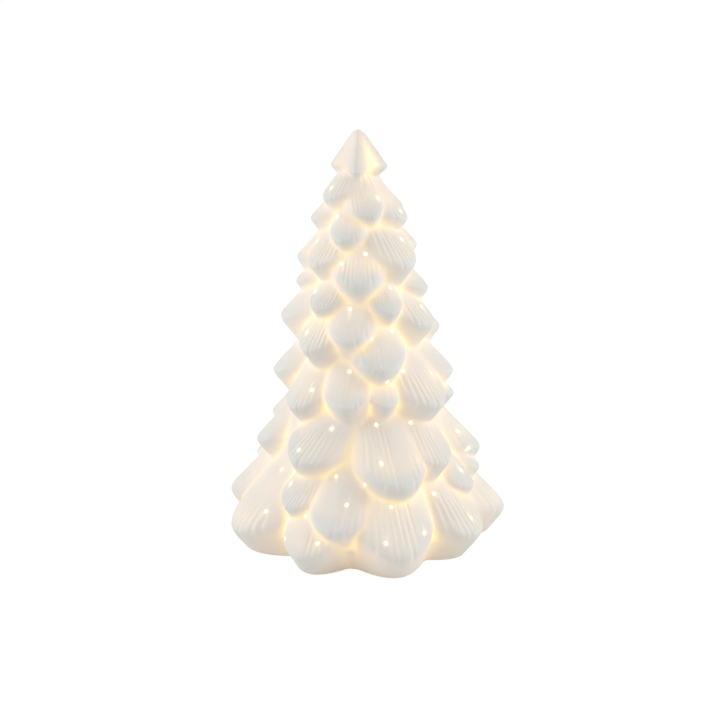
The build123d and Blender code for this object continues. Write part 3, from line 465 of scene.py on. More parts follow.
@dataclass(frozen=True)
class PorcelainShell:
    """The slip-cast tree: one closed surface outside, under the foot and inside, in millimetres.

    The outside is a radius over (azimuth, height): the trunk, the crown and all branches joined by a
    smooth maximum. The foot, the hollow, the trunk and the branches' places keep to the CAD model. The
    sections of the branches, the crown's shape and the grooves are drawn here.
    """

    # Trunk, which leans from right to left up the tree
    trunk_heights: tuple[float, ...] = (0.0, 13.0, 90.0, 165.0, 212.0)
    trunk_radii: tuple[float, ...] = (53.0, 60.5, 36.0, 18.5, 1.6)
    foot_sway: float = 1.9
    top_sway: float = -1.9
    trunk_recess: float = 2.0
    recess_start: float = 4.0
    recess_full: float = 26.0
    # Crown
    top_height: float = 220.8
    tip_dome: float = 3.2
    crown_height: float = 202.0
    crown_apex: float = 224.0
    crown_turn: float = math.radians(-8.0)
    crown_radius: float = 15.2
    crown_rim_rise: float = 3.0
    crown_undercut: float = 1.1
    crown_softness: float = 0.9
    crown_power: float = 1.18
    # Foot and hollow
    wall: float = 2.8
    floor_thickness: float = 5.0
    floor_edge: float = 4.0
    cavity_top_radius: float = 4.0
    cavity_top_height: float = 198.3
    rebate_clearance: float = 0.4
    ring_clearance: float = 0.1
    foot_round: float = 0.9
    foot_ring: float = 2.0
    foot_chamfer: float = 0.3
    # Branches: root depth in millimetres, the other lengths in half widths
    slope: float = math.radians(17.0)
    upper_taper: float = math.tan(math.radians(25.0))
    lower_taper: float = math.tan(math.radians(55.0))
    root_depth: float = 4.5
    depth_per_width: float = 0.55
    rim_softness: float = 0.12
    rim_rise: float = 0.8
    rim_power: float = 2.0
    rim_limit: float = 1.6
    spread: float = 1.08
    narrowing: float = 0.10
    narrowest: float = 0.4
    widest: float = 1.1
    section_power: float = 2.6
    section_edge: float = 0.92
    ridge_height: float = 0.07
    ridge_width: float = 0.3
    ridge_round: float = 0.1
    # Rounding of the crevices between branches, in millimetres
    crevice_softness: float = 0.9
    # Needle grooves, with lengths in half widths
    groove_pitch: float = 0.16
    groove_depth: float = 0.03
    groove_power: float = 3.0
    groove_fan: float = 0.22
    fan_limits: tuple[float, float] = (0.3, 1.2)
    lanes_per_degree: float = 0.37
    groove_stagger: float = 0.24
    stagger_beat: float = 2.4
    side_fade: float = 0.06
    low_fade: tuple[float, float] = (-0.12, 0.22)
    high_fade: float = 0.25
    # Light holes
    hole_radius: float = 0.85
    hole_start: float = 3.5
    hole_sides: int = 18
    # Mesh: rings from the top down the outside and up the hollow
    triangles: int = 180000
    columns: int = 1200
    rows: int = 660
    quick_columns: int = 560
    quick_rows: int = 330
    dome_rings: int = 14
    foot_rings: int = 5
    foot_rings_top: float = 1.2
    rows_start: float = 1.5
    inside_rings: int = 70
    halvings: int = 17
    sharp_angle: float = math.radians(55.0)
    # How far from its tip a branch is worked out: half widths down, up and across, and radians
    near_down: float = 2.0
    near_up: float = 3.0
    near_across: float = 2.4
    near_turn: float = 1.4
    light: LampGlow = LampGlow()

    def trunk_radius(self, height: np.ndarray) -> np.ndarray:
        """Radius of the trunk at heights: straight tapers between its corners."""
        return np.interp(height, self.trunk_heights, self.trunk_radii)

    def bare_radius(self, height: np.ndarray) -> np.ndarray:
        """Radius of the bare trunk between the branches, set back a little above the foot."""
        recess = self.trunk_recess * smooth_step(self.recess_start, self.recess_full, height)
        return self.trunk_radius(height) - recess

    def crown(self, azimuth: np.ndarray, height: np.ndarray) -> np.ndarray:
        """Radius of the crown, a four-sided pyramid with soft ridges over a short undercut.

        Round the tree, R / (|cos t|^p + |sin t|^p)^(1/p), with t counted from a ridge. Up it, a smooth
        minimum of the taper above the rim and the undercut below, where the rim rises between ridges.

        Args:
            azimuth: Azimuths in radians.
            height: Heights.

        Returns:
            The radii.
        """
        turn = azimuth - self.crown_turn
        power = self.crown_power
        outline = (np.abs(np.cos(turn)) ** power + np.abs(np.sin(turn)) ** power) ** (-1.0 / power)
        rim = self.crown_height + self.crown_rim_rise * np.sin(2.0 * turn) ** 2
        above = self.crown_radius * (self.crown_apex - height) / (self.crown_apex - self.crown_height)
        below = self.crown_radius + (height - rim) * self.crown_undercut
        soft = self.crown_softness
        return -soft * np.logaddexp(-above * outline / soft, -below * outline / soft)

    def sway(self, height: np.ndarray) -> np.ndarray:
        """How far to the right of the foot's axis the tree stands at heights."""
        return self.foot_sway + (self.top_sway - self.foot_sway) * height / self.trunk_heights[-1]

    def tip_radius(self, branch: Branch) -> float:
        """Distance of a branch's tip from the tree's axis."""
        depth = self.root_depth + self.depth_per_width * branch.half_width
        return float(self.trunk_radius(branch.tip_height)) + depth

    def rim(self, branch: Branch, across: np.ndarray) -> np.ndarray:
        """How far a branch's rim rises over its tip across the branch: a power of the distance."""
        share = np.minimum(np.abs(across) / branch.half_width, self.rim_limit)
        return self.rim_rise * branch.half_width * share ** self.rim_power

    def face(self, branch: Branch, across: np.ndarray, along: np.ndarray) -> np.ndarray:
        """Height of a branch's face over its axis.

        Along the branch, a smooth minimum of two straight tapers, one up from the rim and one down
        from it, where the rim rises towards the edges so that the branch hangs as a rounded leaf.
        Across it, less h (1 - (1 - s^p)^(1/p)), with h the half width and s = |across| / width, a soft
        kite, which runs on along its tangent past s = section_edge. A low ridge,
        exp(-sqrt(s^2 + r^2) / b), runs up the middle, with r its rounding and b its breadth.

        Args:
            branch: The branch.
            across: Distance across from the branch's middle line.
            along: Distance up the branch's axis from its tip.

        Returns:
            The height over the axis.
        """
        full = branch.half_width
        soft = self.rim_softness * full
        above = full - along * self.upper_taper
        below = full + (along - self.rim(branch, across)) * self.lower_taper
        crest = -soft * np.logaddexp(-above / soft, -below / soft)
        narrowed = np.clip(1.0 - self.narrowing * along / full, self.narrowest, self.widest)
        width = self.spread * full * narrowed
        power, edge = self.section_power, self.section_edge
        rise = (1.0 - edge ** power) ** (1.0 / power)
        fall = (1.0 - edge ** power) ** (1.0 / power - 1.0) * edge ** (power - 1.0)
        share = np.abs(across) / width
        rounded = (1.0 - np.minimum(share, edge) ** power) ** (1.0 / power)
        level = np.where(share < edge, rounded, rise - fall * (share - edge))
        ridge = self.ridge_height * np.exp(-np.sqrt(share ** 2 + self.ridge_round ** 2) / self.ridge_width)
        return crest + full * (level - 1.0 + ridge)

    def grooves(self, branch: Branch, across: np.ndarray, along: np.ndarray) -> np.ndarray:
        """Depth of the needle grooves on a branch.

        cos^n across the branch, with lanes that draw together up the branch, in patches whose
        grooves start and end at slightly different heights.

        Args:
            branch: The branch.
            across: Share of the half width across from the middle line.
            along: Height above the rim in half widths.

        Returns:
            The depth carved off.
        """
        spread = across / np.clip(1.0 - self.groove_fan * along, *self.fan_limits)
        lane = spread / self.groove_pitch + self.lanes_per_degree * branch.azimuth
        number = np.round(lane)
        rise = along + self.groove_stagger * np.sin(self.stagger_beat * number + branch.tip_height)
        line = np.cos(math.pi * (lane - number)) ** self.groove_power
        depth = np.zeros_like(across)
        for left, right, low, high in branch.carving.value:
            inside = smooth_step(left - self.side_fade, left + self.side_fade, spread)
            inside *= smooth_step(-right - self.side_fade, -right + self.side_fade, -spread)
            ends = smooth_step(low + self.low_fade[0], low + self.low_fade[1], rise)
            ends *= smooth_step(-high - self.high_fade, -high + self.high_fade, -rise)
            depth = np.maximum(depth, line * inside * ends)
        return self.groove_depth * branch.half_width * depth

    def branch_radius(
        self, branch: Branch, turn: np.ndarray, height: np.ndarray, carved: bool
    ) -> np.ndarray:
        """Distance of a branch's face from the tree's axis.

        A level ray leaves the tree's axis and meets the face where its height over the branch's
        leaning axis equals face(across, along). That height only grows along the ray, so the place
        is halved out between the axis and a radius outside the tip.

        Args:
            branch: The branch.
            turn: Azimuths from the branch's own, in radians.
            height: Heights.
            carved: Whether the needle grooves are taken off.

        Returns:
            The radii.
        """
        full = branch.half_width
        lean = math.radians(branch.lean)
        axis_radius = self.tip_radius(branch) - full * math.cos(self.slope)
        rise = height - branch.tip_height + full * math.sin(self.slope)
        inner = np.zeros_like(turn)
        outer = np.full_like(turn, self.tip_radius(branch) + full)
        for _ in range(self.halvings):
            radius = 0.5 * (inner + outer)
            out = radius * np.cos(turn) - axis_radius
            right = radius * np.sin(turn)
            straight = rise * math.cos(self.slope) - out * math.sin(self.slope)
            across = right * math.cos(lean) - straight * math.sin(lean)
            along = straight * math.cos(lean) + right * math.sin(lean)
            over = out * math.cos(self.slope) + rise * math.sin(self.slope)
            outside = over > self.face(branch, across, along)
            outer = np.where(outside, radius, outer)
            inner = np.where(outside, inner, radius)
        if not carved:
            return radius
        return radius - self.grooves(branch, across / full, (along - self.rim(branch, across)) / full)

    def surface(self, azimuth: np.ndarray, height: np.ndarray, carved: bool = True) -> np.ndarray:
        """Radius of the tree's outside.

        k log(sum of exp(radius / k)) over the trunk, the crown and the branches, a smooth maximum that
        leaves rounded crevices, closed by an elliptical dome at the top and a rounded edge at the foot.

        Args:
            azimuth: Azimuths in radians.
            height: Heights.
            carved: Whether the needle grooves are taken off.

        Returns:
            The radii.
        """
        trunk = self.bare_radius(height)
        soft = self.crevice_softness
        total = 1.0 + np.exp((self.crown(azimuth, height) - trunk) / soft)
        for branch in branches():
            if branch.tip_height >= self.crown_height:
                continue
            turn = np.angle(np.exp(1j * (azimuth - math.radians(branch.azimuth))))
            over = (height - branch.tip_height) / branch.half_width
            span = min(self.near_across * branch.half_width / self.tip_radius(branch), self.near_turn)
            near = (np.abs(turn) < span) & (over > -self.near_down) & (over < self.near_up)
            here = self.branch_radius(branch, turn[near], height[near], carved)
            total[near] += np.exp((here - trunk[near]) / soft)
        radius = trunk + soft * np.log(total)
        dome = np.clip((height - self.top_height + self.tip_dome) / self.tip_dome, 0.0, 1.0)
        radius = radius * np.sqrt(1.0 - dome * dome)
        edge = np.clip(1.0 - height / self.foot_round, 0.0, 1.0)
        return radius - self.foot_round * (1.0 - np.sqrt(1.0 - edge * edge))

    def relief(self, radius: np.ndarray, step: float, reach: float) -> np.ndarray:
        """How far a map of radii lies below its own average nearby.

        A Gaussian average less the radius: round the tree as a product in the Fourier series of each
        ring, up the tree as a matrix of normalised weights, with the tree's own taper taken off first.

        Args:
            radius: Radii, one row a height and one column an azimuth.
            step: Distance between rows.
            reach: Standard deviation of the average, in millimetres.

        Returns:
            The depths, positive in crevices and negative on tips.
        """
        rows, columns = radius.shape
        waves = np.arange(columns // 2 + 1)[None, :]
        ring = np.maximum(radius.mean(axis=1, keepdims=True), reach)
        turned = np.fft.irfft(
            np.fft.rfft(radius, axis=1) * np.exp(-0.5 * (waves * reach / ring) ** 2), columns, axis=1)
        apart = (np.arange(rows)[:, None] - np.arange(rows)[None, :]) * step / reach
        weights = np.exp(-0.5 * apart ** 2)
        slope = np.gradient(radius.mean(axis=1))
        lean = np.cumsum(slope)[:, None]
        return (weights / weights.sum(axis=1, keepdims=True)) @ (turned - lean) + lean - radius

    def cavity_radius(self, height: np.ndarray) -> np.ndarray:
        """Radius of the hollow inside at heights: the bare trunk less the wall."""
        return np.maximum(self.bare_radius(height) - self.wall, 0.0)

    def inside_path(self) -> np.ndarray:
        """The turned profile under the foot and up the hollow.

        Returns:
            Rows of (radius, height), from beside the rebate to the hollow's top.
        """
        rebate = float(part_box("base_housing")[1].x) / MM + self.rebate_clearance
        opening = float(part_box("sealing_ring")[1].x) / MM + self.ring_clearance
        ledge = float(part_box("sealing_ring")[0].z) / MM
        floor = ledge + self.floor_thickness
        climb = np.linspace(floor, self.cavity_top_height, self.inside_rings)
        wall = np.stack([self.cavity_radius(climb), climb], axis=1)
        wall[-1, 0] = self.cavity_top_radius
        foot = np.array([
            (rebate + self.foot_ring, 0.0), (rebate + self.foot_chamfer, 0.0), (rebate, self.foot_chamfer),
            (rebate, ledge / 2), (rebate, ledge), (opening, ledge), (opening, (ledge + floor) / 2),
            (opening, floor), (opening + self.floor_edge, floor),
        ])
        return np.concatenate([foot, wall])

    def base_mesh(self) -> Mesh:
        """The whole closed surface on a fine grid, before it is thinned and pierced.

        Rings of points run from the top down the outside, under the foot and up the hollow, with a
        single point at either end. Neighbouring rings are joined by two triangles a cell.

        Returns:
            The mesh, in metres.
        """
        columns = self.columns
        rows = self.rows
        azimuth = np.linspace(-math.pi, math.pi, columns, endpoint=False)
        dome_foot = self.top_height - self.tip_dome
        dome = dome_foot + self.tip_dome * np.sin(np.linspace(0.0, 0.5 * math.pi, self.dome_rings))[1:-1]
        foot = np.linspace(0.0, self.foot_rings_top, self.foot_rings)
        heights = np.concatenate([foot, np.linspace(self.rows_start, dome_foot, rows), dome])[::-1]
        grid_height, grid_azimuth = np.meshgrid(heights, azimuth, indexing="ij")
        radius = self.surface(grid_azimuth, grid_height)
        outside = np.stack([
            self.sway(grid_height) + radius * np.sin(grid_azimuth),
            -radius * np.cos(grid_azimuth),
            grid_height,
        ], axis=-1)
        path = self.inside_path()
        inside = np.stack([
            path[:, :1] * np.sin(azimuth),
            -path[:, :1] * np.cos(azimuth),
            np.repeat(path[:, 1:], columns, axis=1),
        ], axis=-1)
        rings = np.concatenate([outside, inside])
        top = np.array([[float(self.sway(self.top_height)), 0.0, self.top_height]])
        roof = np.array([[0.0, 0.0, self.cavity_top_height]])
        points = np.concatenate([rings.reshape(-1, 3), top, roof]) * MM
        count = len(rings)
        here = np.arange(count * columns).reshape(count, columns)
        beside = np.roll(here, -1, axis=1)
        cells = [
            np.stack([here[:-1], here[1:], beside[1:]], axis=-1).reshape(-1, 3),
            np.stack([here[:-1], beside[1:], beside[:-1]], axis=-1).reshape(-1, 3),
            np.stack([np.full(columns, count * columns), here[0], beside[0]], axis=-1),
            np.stack([np.full(columns, count * columns + 1), beside[-1], here[-1]], axis=-1),
        ]
        mesh = bpy.data.meshes.new("porcelain_tree")
        mesh.from_pydata(points, [], np.concatenate(cells))
        return mesh

    def hole_lines(self) -> tuple[np.ndarray, np.ndarray, np.ndarray]:
        """Mouth, inward direction and length of every light hole.

        A hole starts a little outside the branch's face, at its place across and up from the tip, and
        runs square to the face into the hollow, no further than the tree's axis.

        Returns:
            Mouth points and unit directions, one row a hole, and lengths.
        """
        mouths, ways, lengths = [], [], []
        for branch in branches():
            turn = math.radians(branch.azimuth)
            lean = math.radians(branch.lean)
            out = np.array([math.sin(turn), -math.cos(turn), 0.0])
            right = np.array([math.cos(turn), math.sin(turn), 0.0])
            rise = np.array([0.0, 0.0, 1.0])
            face = out * math.cos(self.slope) + rise * math.sin(self.slope)
            straight = rise * math.cos(self.slope) - out * math.sin(self.slope)
            up = straight * math.cos(lean) + right * math.sin(lean)
            across = right * math.cos(lean) - straight * math.sin(lean)
            tip = out * self.tip_radius(branch) + rise * branch.tip_height
            tip = tip + np.array([float(self.sway(branch.tip_height)), 0.0, 0.0])
            for sideways, above in branch.holes:
                face_height = self.face(branch, np.array([float(sideways)]), np.array([float(above)]))
                sunk = branch.half_width - float(face_height[0])
                mouth = tip + across * sideways + up * above - face * (sunk - self.hole_start)
                through = self.hole_start + self.root_depth + branch.half_width + 2.0 * self.wall
                mouths.append(mouth)
                ways.append(-face)
                lengths.append(min(through, float(mouth @ out) / math.cos(self.slope)))
        return np.array(mouths), np.array(ways), np.array(lengths)

    def hole_rods(self) -> Mesh:
        """The rods that pierce the light holes: a circle carried along each hole's line.

        Returns:
            One mesh of closed prisms, in metres.
        """
        mouths, ways, lengths = self.hole_lines()
        sides = self.hole_sides
        turn = np.linspace(0.0, 2.0 * math.pi, sides, endpoint=False)
        level = np.cross(ways, [0.0, 0.0, 1.0])
        level /= np.linalg.norm(level, axis=1, keepdims=True)
        upright = np.cross(level, ways)
        circle = np.cos(turn)[:, None] * level[:, None] + np.sin(turn)[:, None] * upright[:, None]
        near = mouths[:, None] + self.hole_radius * circle
        far = near + (ways * lengths[:, None])[:, None]
        points = np.concatenate([near, far], axis=1).reshape(-1, 3) * MM
        first = (np.arange(len(mouths)) * 2 * sides)[:, None]
        step = np.arange(sides)[None, :]
        after = (step + 1) % sides
        walls = np.stack([first + step, first + step + sides, first + after + sides, first + after], axis=-1)
        faces = walls.reshape(-1, 4).tolist()
        faces += (first + step).tolist()
        faces += (first + step[:, ::-1] + sides).tolist()
        mesh = bpy.data.meshes.new("light_hole_rods")
        mesh.from_pydata(points, [], faces)
        return mesh

    def finished_mesh(self) -> Mesh:
        """The tree's surface thinned to its triangle budget and pierced by the light holes.

        Returns:
            The mesh, in metres.
        """
        tree = bpy.data.objects.new("porcelain_tree_blank", self.base_mesh())
        rods = bpy.data.objects.new("light_hole_rods", self.hole_rods())
        for blank in (tree, rods):
            show(blank)
        thin = tree.modifiers.new("thin", "DECIMATE")
        thin.ratio = min(1.0, self.triangles / len(tree.data.polygons))
        pierce = tree.modifiers.new("pierce", "BOOLEAN")
        pierce.operation = "DIFFERENCE"
        pierce.solver = "MANIFOLD"
        pierce.object = rods
        evaluated = tree.evaluated_get(bpy.context.evaluated_depsgraph_get())
        mesh = bpy.data.meshes.new_from_object(evaluated)
        mesh.name = "porcelain_tree"
        for blank in (tree, rods):
            data = blank.data
            bpy.data.objects.remove(blank)
            bpy.data.meshes.remove(data)
        return mesh

    def light_map(self) -> tuple[np.ndarray, np.ndarray]:
        """Painted lamp light through the wall, and how far out a place is for the painted shade of the tips,
        over a plain grid.

        Light gathers where the surface lies below its surroundings: a narrow average finds the
        crevices, and a wide one tells the branches' bodies from their tips.

        Returns:
            The painted glow and the painted shade of the tips, with one row a height and one column an even
            step of azimuth.
        """
        light = self.light
        heights = np.linspace(0.0, self.top_height, light.map_rows)
        azimuth = np.linspace(-math.pi, math.pi, light.map_columns, endpoint=False)
        grid_height, grid_azimuth = np.meshgrid(heights, azimuth, indexing="ij")
        radius = self.surface(grid_azimuth, grid_height, False)
        step = heights[1] - heights[0]
        sunk = self.relief(radius, step, light.crevice_reach) / light.crevice_depth
        crevice = np.clip(sunk, 0.0, light.crevice_limit)
        crevice *= 1.0 - light.crown_dim * smooth_step(light.crown_from, light.crown_full, grid_height)
        hollow = np.clip(self.relief(radius, step, light.body_reach) / light.body_depth, -1.0, 1.0)
        glow = light.least + light.body * (1.0 + hollow) + light.crevice * crevice ** light.crevice_power
        # Painted light: a bright pool on the crown's right face
        patch = ((grid_azimuth - light.patch_azimuth) / light.patch_width) ** 2
        patch += ((grid_height - light.patch_height) / light.patch_length) ** 2
        glow += light.patch * np.exp(-patch)
        return glow, smooth_step(light.painted_shade_start, light.painted_shade_full, -hollow)

    def read_map(self, grid: np.ndarray, azimuth: np.ndarray, height: np.ndarray) -> np.ndarray:
        """Read a map between its grid points, in straight lines either way.

        Args:
            grid: The map, with one row a height and one column an even step of azimuth.
            azimuth: Azimuths in radians.
            height: Heights.

        Returns:
            The values.
        """
        rows, columns = grid.shape
        row = np.clip(height / self.top_height * (rows - 1), 0.0, rows - 1)
        low = np.minimum(row.astype(int), rows - 2)
        column = (azimuth + math.pi) / (2.0 * math.pi) * columns
        left = np.floor(column).astype(int) % columns
        right = (left + 1) % columns
        up = row - low
        over = column - np.floor(column)
        below = (1.0 - over) * grid[low, left] + over * grid[low, right]
        above = (1.0 - over) * grid[low + 1, left] + over * grid[low + 1, right]
        return (1.0 - up) * below + up * above

    def paint_light(self, mesh: Mesh) -> None:
        """Store the lamp light at every point of the tree, and light the holes.

        The light map is read between its grid points. Round a light hole the light falls off by
        exp(-distance), and the hollow inside is full of light. A face whose points all lie on a hole
        gets the mesh's second material.

        Args:
            mesh: The finished mesh, which gets the point attributes glow and tip.
        """
        light = self.light
        points = np.empty(len(mesh.vertices) * 3, dtype=np.float32)
        mesh.vertices.foreach_get("co", points)
        points = points.reshape(-1, 3).astype(float) / MM
        height = points[:, 2]
        right = points[:, 0] - self.sway(height)
        azimuth = np.arctan2(right, -points[:, 1])
        # glow is painted lamp light, and tip is the painted shade of the thick tips
        glow, tip = [self.read_map(grid, azimuth, height) for grid in self.light_map()]
        cut = self.surface(azimuth, height, False) - np.hypot(right, points[:, 1])
        # Painted light: more glow in the carved grooves
        glow += light.groove * np.clip(cut, 0.0, light.groove_limit)
        bored = np.zeros(len(points), dtype=bool)
        for mouth, way, length in zip(*self.hole_lines()):
            offset = points - mouth
            depth = offset @ way
            apart = np.linalg.norm(offset - depth[:, None] * way, axis=1)
            # A painted halo of light round each hole's mouth
            halo = light.halo * np.exp(-np.maximum(apart - self.hole_radius, 0.0) / light.halo_reach)
            lit = (depth > 0.0) & (depth < light.halo_depth)
            glow = np.where(lit, np.maximum(glow, halo), glow)
            on_bore = apart < light.bore_slack * self.hole_radius
            bored |= on_bore & (depth > 0.0) & (depth < length + light.bore_margin)
        # Painted light: the hollow's wall glows in full
        hollow = self.cavity_radius(height) + light.inside_margin
        inside = (np.hypot(points[:, 0], points[:, 1]) < hollow) & (height > light.inside_from)
        glow = np.where(inside, light.inside, glow)
        for name, values in (("glow", glow), ("tip", tip)):
            layer = mesh.attributes.new(name, "FLOAT", "POINT")
            layer.data.foreach_set("value", values.astype(np.float32))
        corners = np.empty(len(mesh.loops), dtype=np.int32)
        mesh.loops.foreach_get("vertex_index", corners)
        starts = np.empty(len(mesh.polygons), dtype=np.int32)
        mesh.polygons.foreach_get("loop_start", starts)
        bores = np.logical_and.reduceat(bored[corners], starts)
        mesh.polygons.foreach_set("material_index", bores.astype(np.int32))

    def build(self) -> Object:
        """Make the tree, dress it and put it on its body.

        Returns:
            The tree.
        """
        mesh = self.finished_mesh()
        mesh.materials.clear()
        mesh.materials.append(BisquePorcelain().material())
        mesh.materials.append(LitBore().material())
        self.paint_light(mesh)
        mesh.shade_smooth()
        mesh.set_sharp_from_angle(angle=self.sharp_angle)
        tree = bpy.data.objects.new("porcelain_tree", mesh)
        show(tree)
        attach(tree, "tree")
        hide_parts("porcelain_shell")
        LOG.info("porcelain_tree: %d triangles", sum(len(p.vertices) - 2 for p in mesh.polygons))
        return tree


@dataclass(frozen=True)
class Finish:
    """A plain surface: two near tones in soft clouds, with a fine grain in its shine and relief."""

    name: str
    tone: str
    shade: str
    roughness: float
    cloud_mm: float = 9.0
    grain_mm: float = 0.5
    grain_depth_mm: float = 0.02
    grain_strength: float = 0.4
    grain_shine: float = 0.15
    stretch: tuple[float, float, float] = (1.0, 1.0, 1.0)
    settings: tuple[tuple[str, float], ...] = ()

    def colour(self, tree: NodeTree, place: NodeSocket) -> NodeSocket:
        """Make the surface's colour, clouds of its two tones.

        Args:
            tree: The material's node tree.
            place: Object coordinates.

        Returns:
            The colour.
        """
        cloud = add_node(tree, "TexNoise", {"Vector": place, "Scale": per_metre(self.cloud_mm)})
        return add_node(tree, "Mix", {
            MIX_FACTOR: cloud.outputs["Fac"], MIX_FIRST: linear(self.tone),
            MIX_SECOND: linear(self.shade)}, data_type="RGBA").outputs[MIX_RESULT]

    def light(self, tree: NodeTree, place: NodeSocket) -> Inputs:
        """The shader inputs for light that the surface gives off: none."""
        return {}

    def material(self) -> Material:
        """Make the material.

        Returns:
            The material.
        """
        made, shader, place = new_material(self.name)
        tree = made.node_tree
        drawn = add_node(tree, "Mapping", {"Vector": place, "Scale": self.stretch})
        grain = add_node(tree, "TexNoise", {
            "Vector": drawn.outputs[0], "Scale": per_metre(self.grain_mm), "Detail": 2.0})
        rough = add_node(tree, "MapRange", {
            "Value": grain.outputs["Fac"], "To Min": (1.0 - self.grain_shine) * self.roughness,
            "To Max": (1.0 + self.grain_shine) * self.roughness})
        bump = add_node(tree, "Bump", {
            "Height": grain.outputs["Fac"], "Strength": self.grain_strength,
            "Distance": self.grain_depth_mm * MM})
        connect(tree, shader, {
            "Base Color": self.colour(tree, place), "Roughness": rough.outputs[0],
            "Normal": bump.outputs["Normal"], **self.light(tree, place), **dict(self.settings)})
        return made


@dataclass(frozen=True)
class Ringed(Finish):
    """Rings of colour along a small part, as on a printed sleeve or a lacquered body."""

    start: float = 0.0
    end: float = 1.0
    rings: tuple[tuple[float, str], ...] = ()

    def colour(self, tree: NodeTree, place: NodeSocket) -> NodeSocket:
        """Make the surface's colour, even rings from the part's start to its end in Y.

        Args:
            tree: The material's node tree.
            place: Object coordinates.

        Returns:
            The colour.
        """
        apart = add_node(tree, "SeparateXYZ", {0: place})
        share = add_node(tree, "MapRange", {
            "Value": apart.outputs["Y"], "From Min": self.start, "From Max": self.end})
        ramp = add_node(tree, "ValToRGB", {0: share.outputs[0]},
                        [(place_along, linear(tone)) for place_along, tone in self.rings])
        ramp.color_ramp.interpolation = "CONSTANT"
        return ramp.outputs[0]


@dataclass(frozen=True)
class SolderMask(Finish):
    """A circuit board's lacquer, with the copper tracks showing through as paler lines."""

    track: str = "FFFFFF"
    track_pitch_mm: float = 2.5
    track_width: float = 0.08

    def colour(self, tree: NodeTree, place: NodeSocket) -> NodeSocket:
        """The surface's colour: a running bond of lacquer with tracks for its joints."""
        return add_node(tree, "TexBrick", {
            "Vector": place, "Color1": linear(self.tone), "Color2": linear(self.shade),
            "Mortar": linear(self.track), "Mortar Size": self.track_width,
            "Scale": per_metre(self.track_pitch_mm)}).outputs["Color"]


@dataclass(frozen=True)
class Lit(Finish):
    """A surface that shines: brighter and dimmer light in even rings up the lamp."""

    bright: str = "FFF3D6"
    dim: str = "FFD79A"
    pitch_mm: float = 20.0

    def light(self, tree: NodeTree, place: NodeSocket) -> Inputs:
        """Make the light, a sine of height with one ring a pitch.

        Args:
            tree: The material's node tree.
            place: Object coordinates.

        Returns:
            The shader inputs.
        """
        rings = add_node(tree, "TexWave", {
            "Vector": place, "Scale": WAVE_PERIOD * per_metre(self.pitch_mm)}, bands_direction="Z")
        glow = add_node(tree, "Mix", {
            MIX_FACTOR: rings.outputs["Fac"], MIX_FIRST: linear(self.dim),
            MIX_SECOND: linear(self.bright)}, data_type="RGBA")
        return {"Emission Color": glow.outputs[MIX_RESULT], "Emission Strength": 1.0}


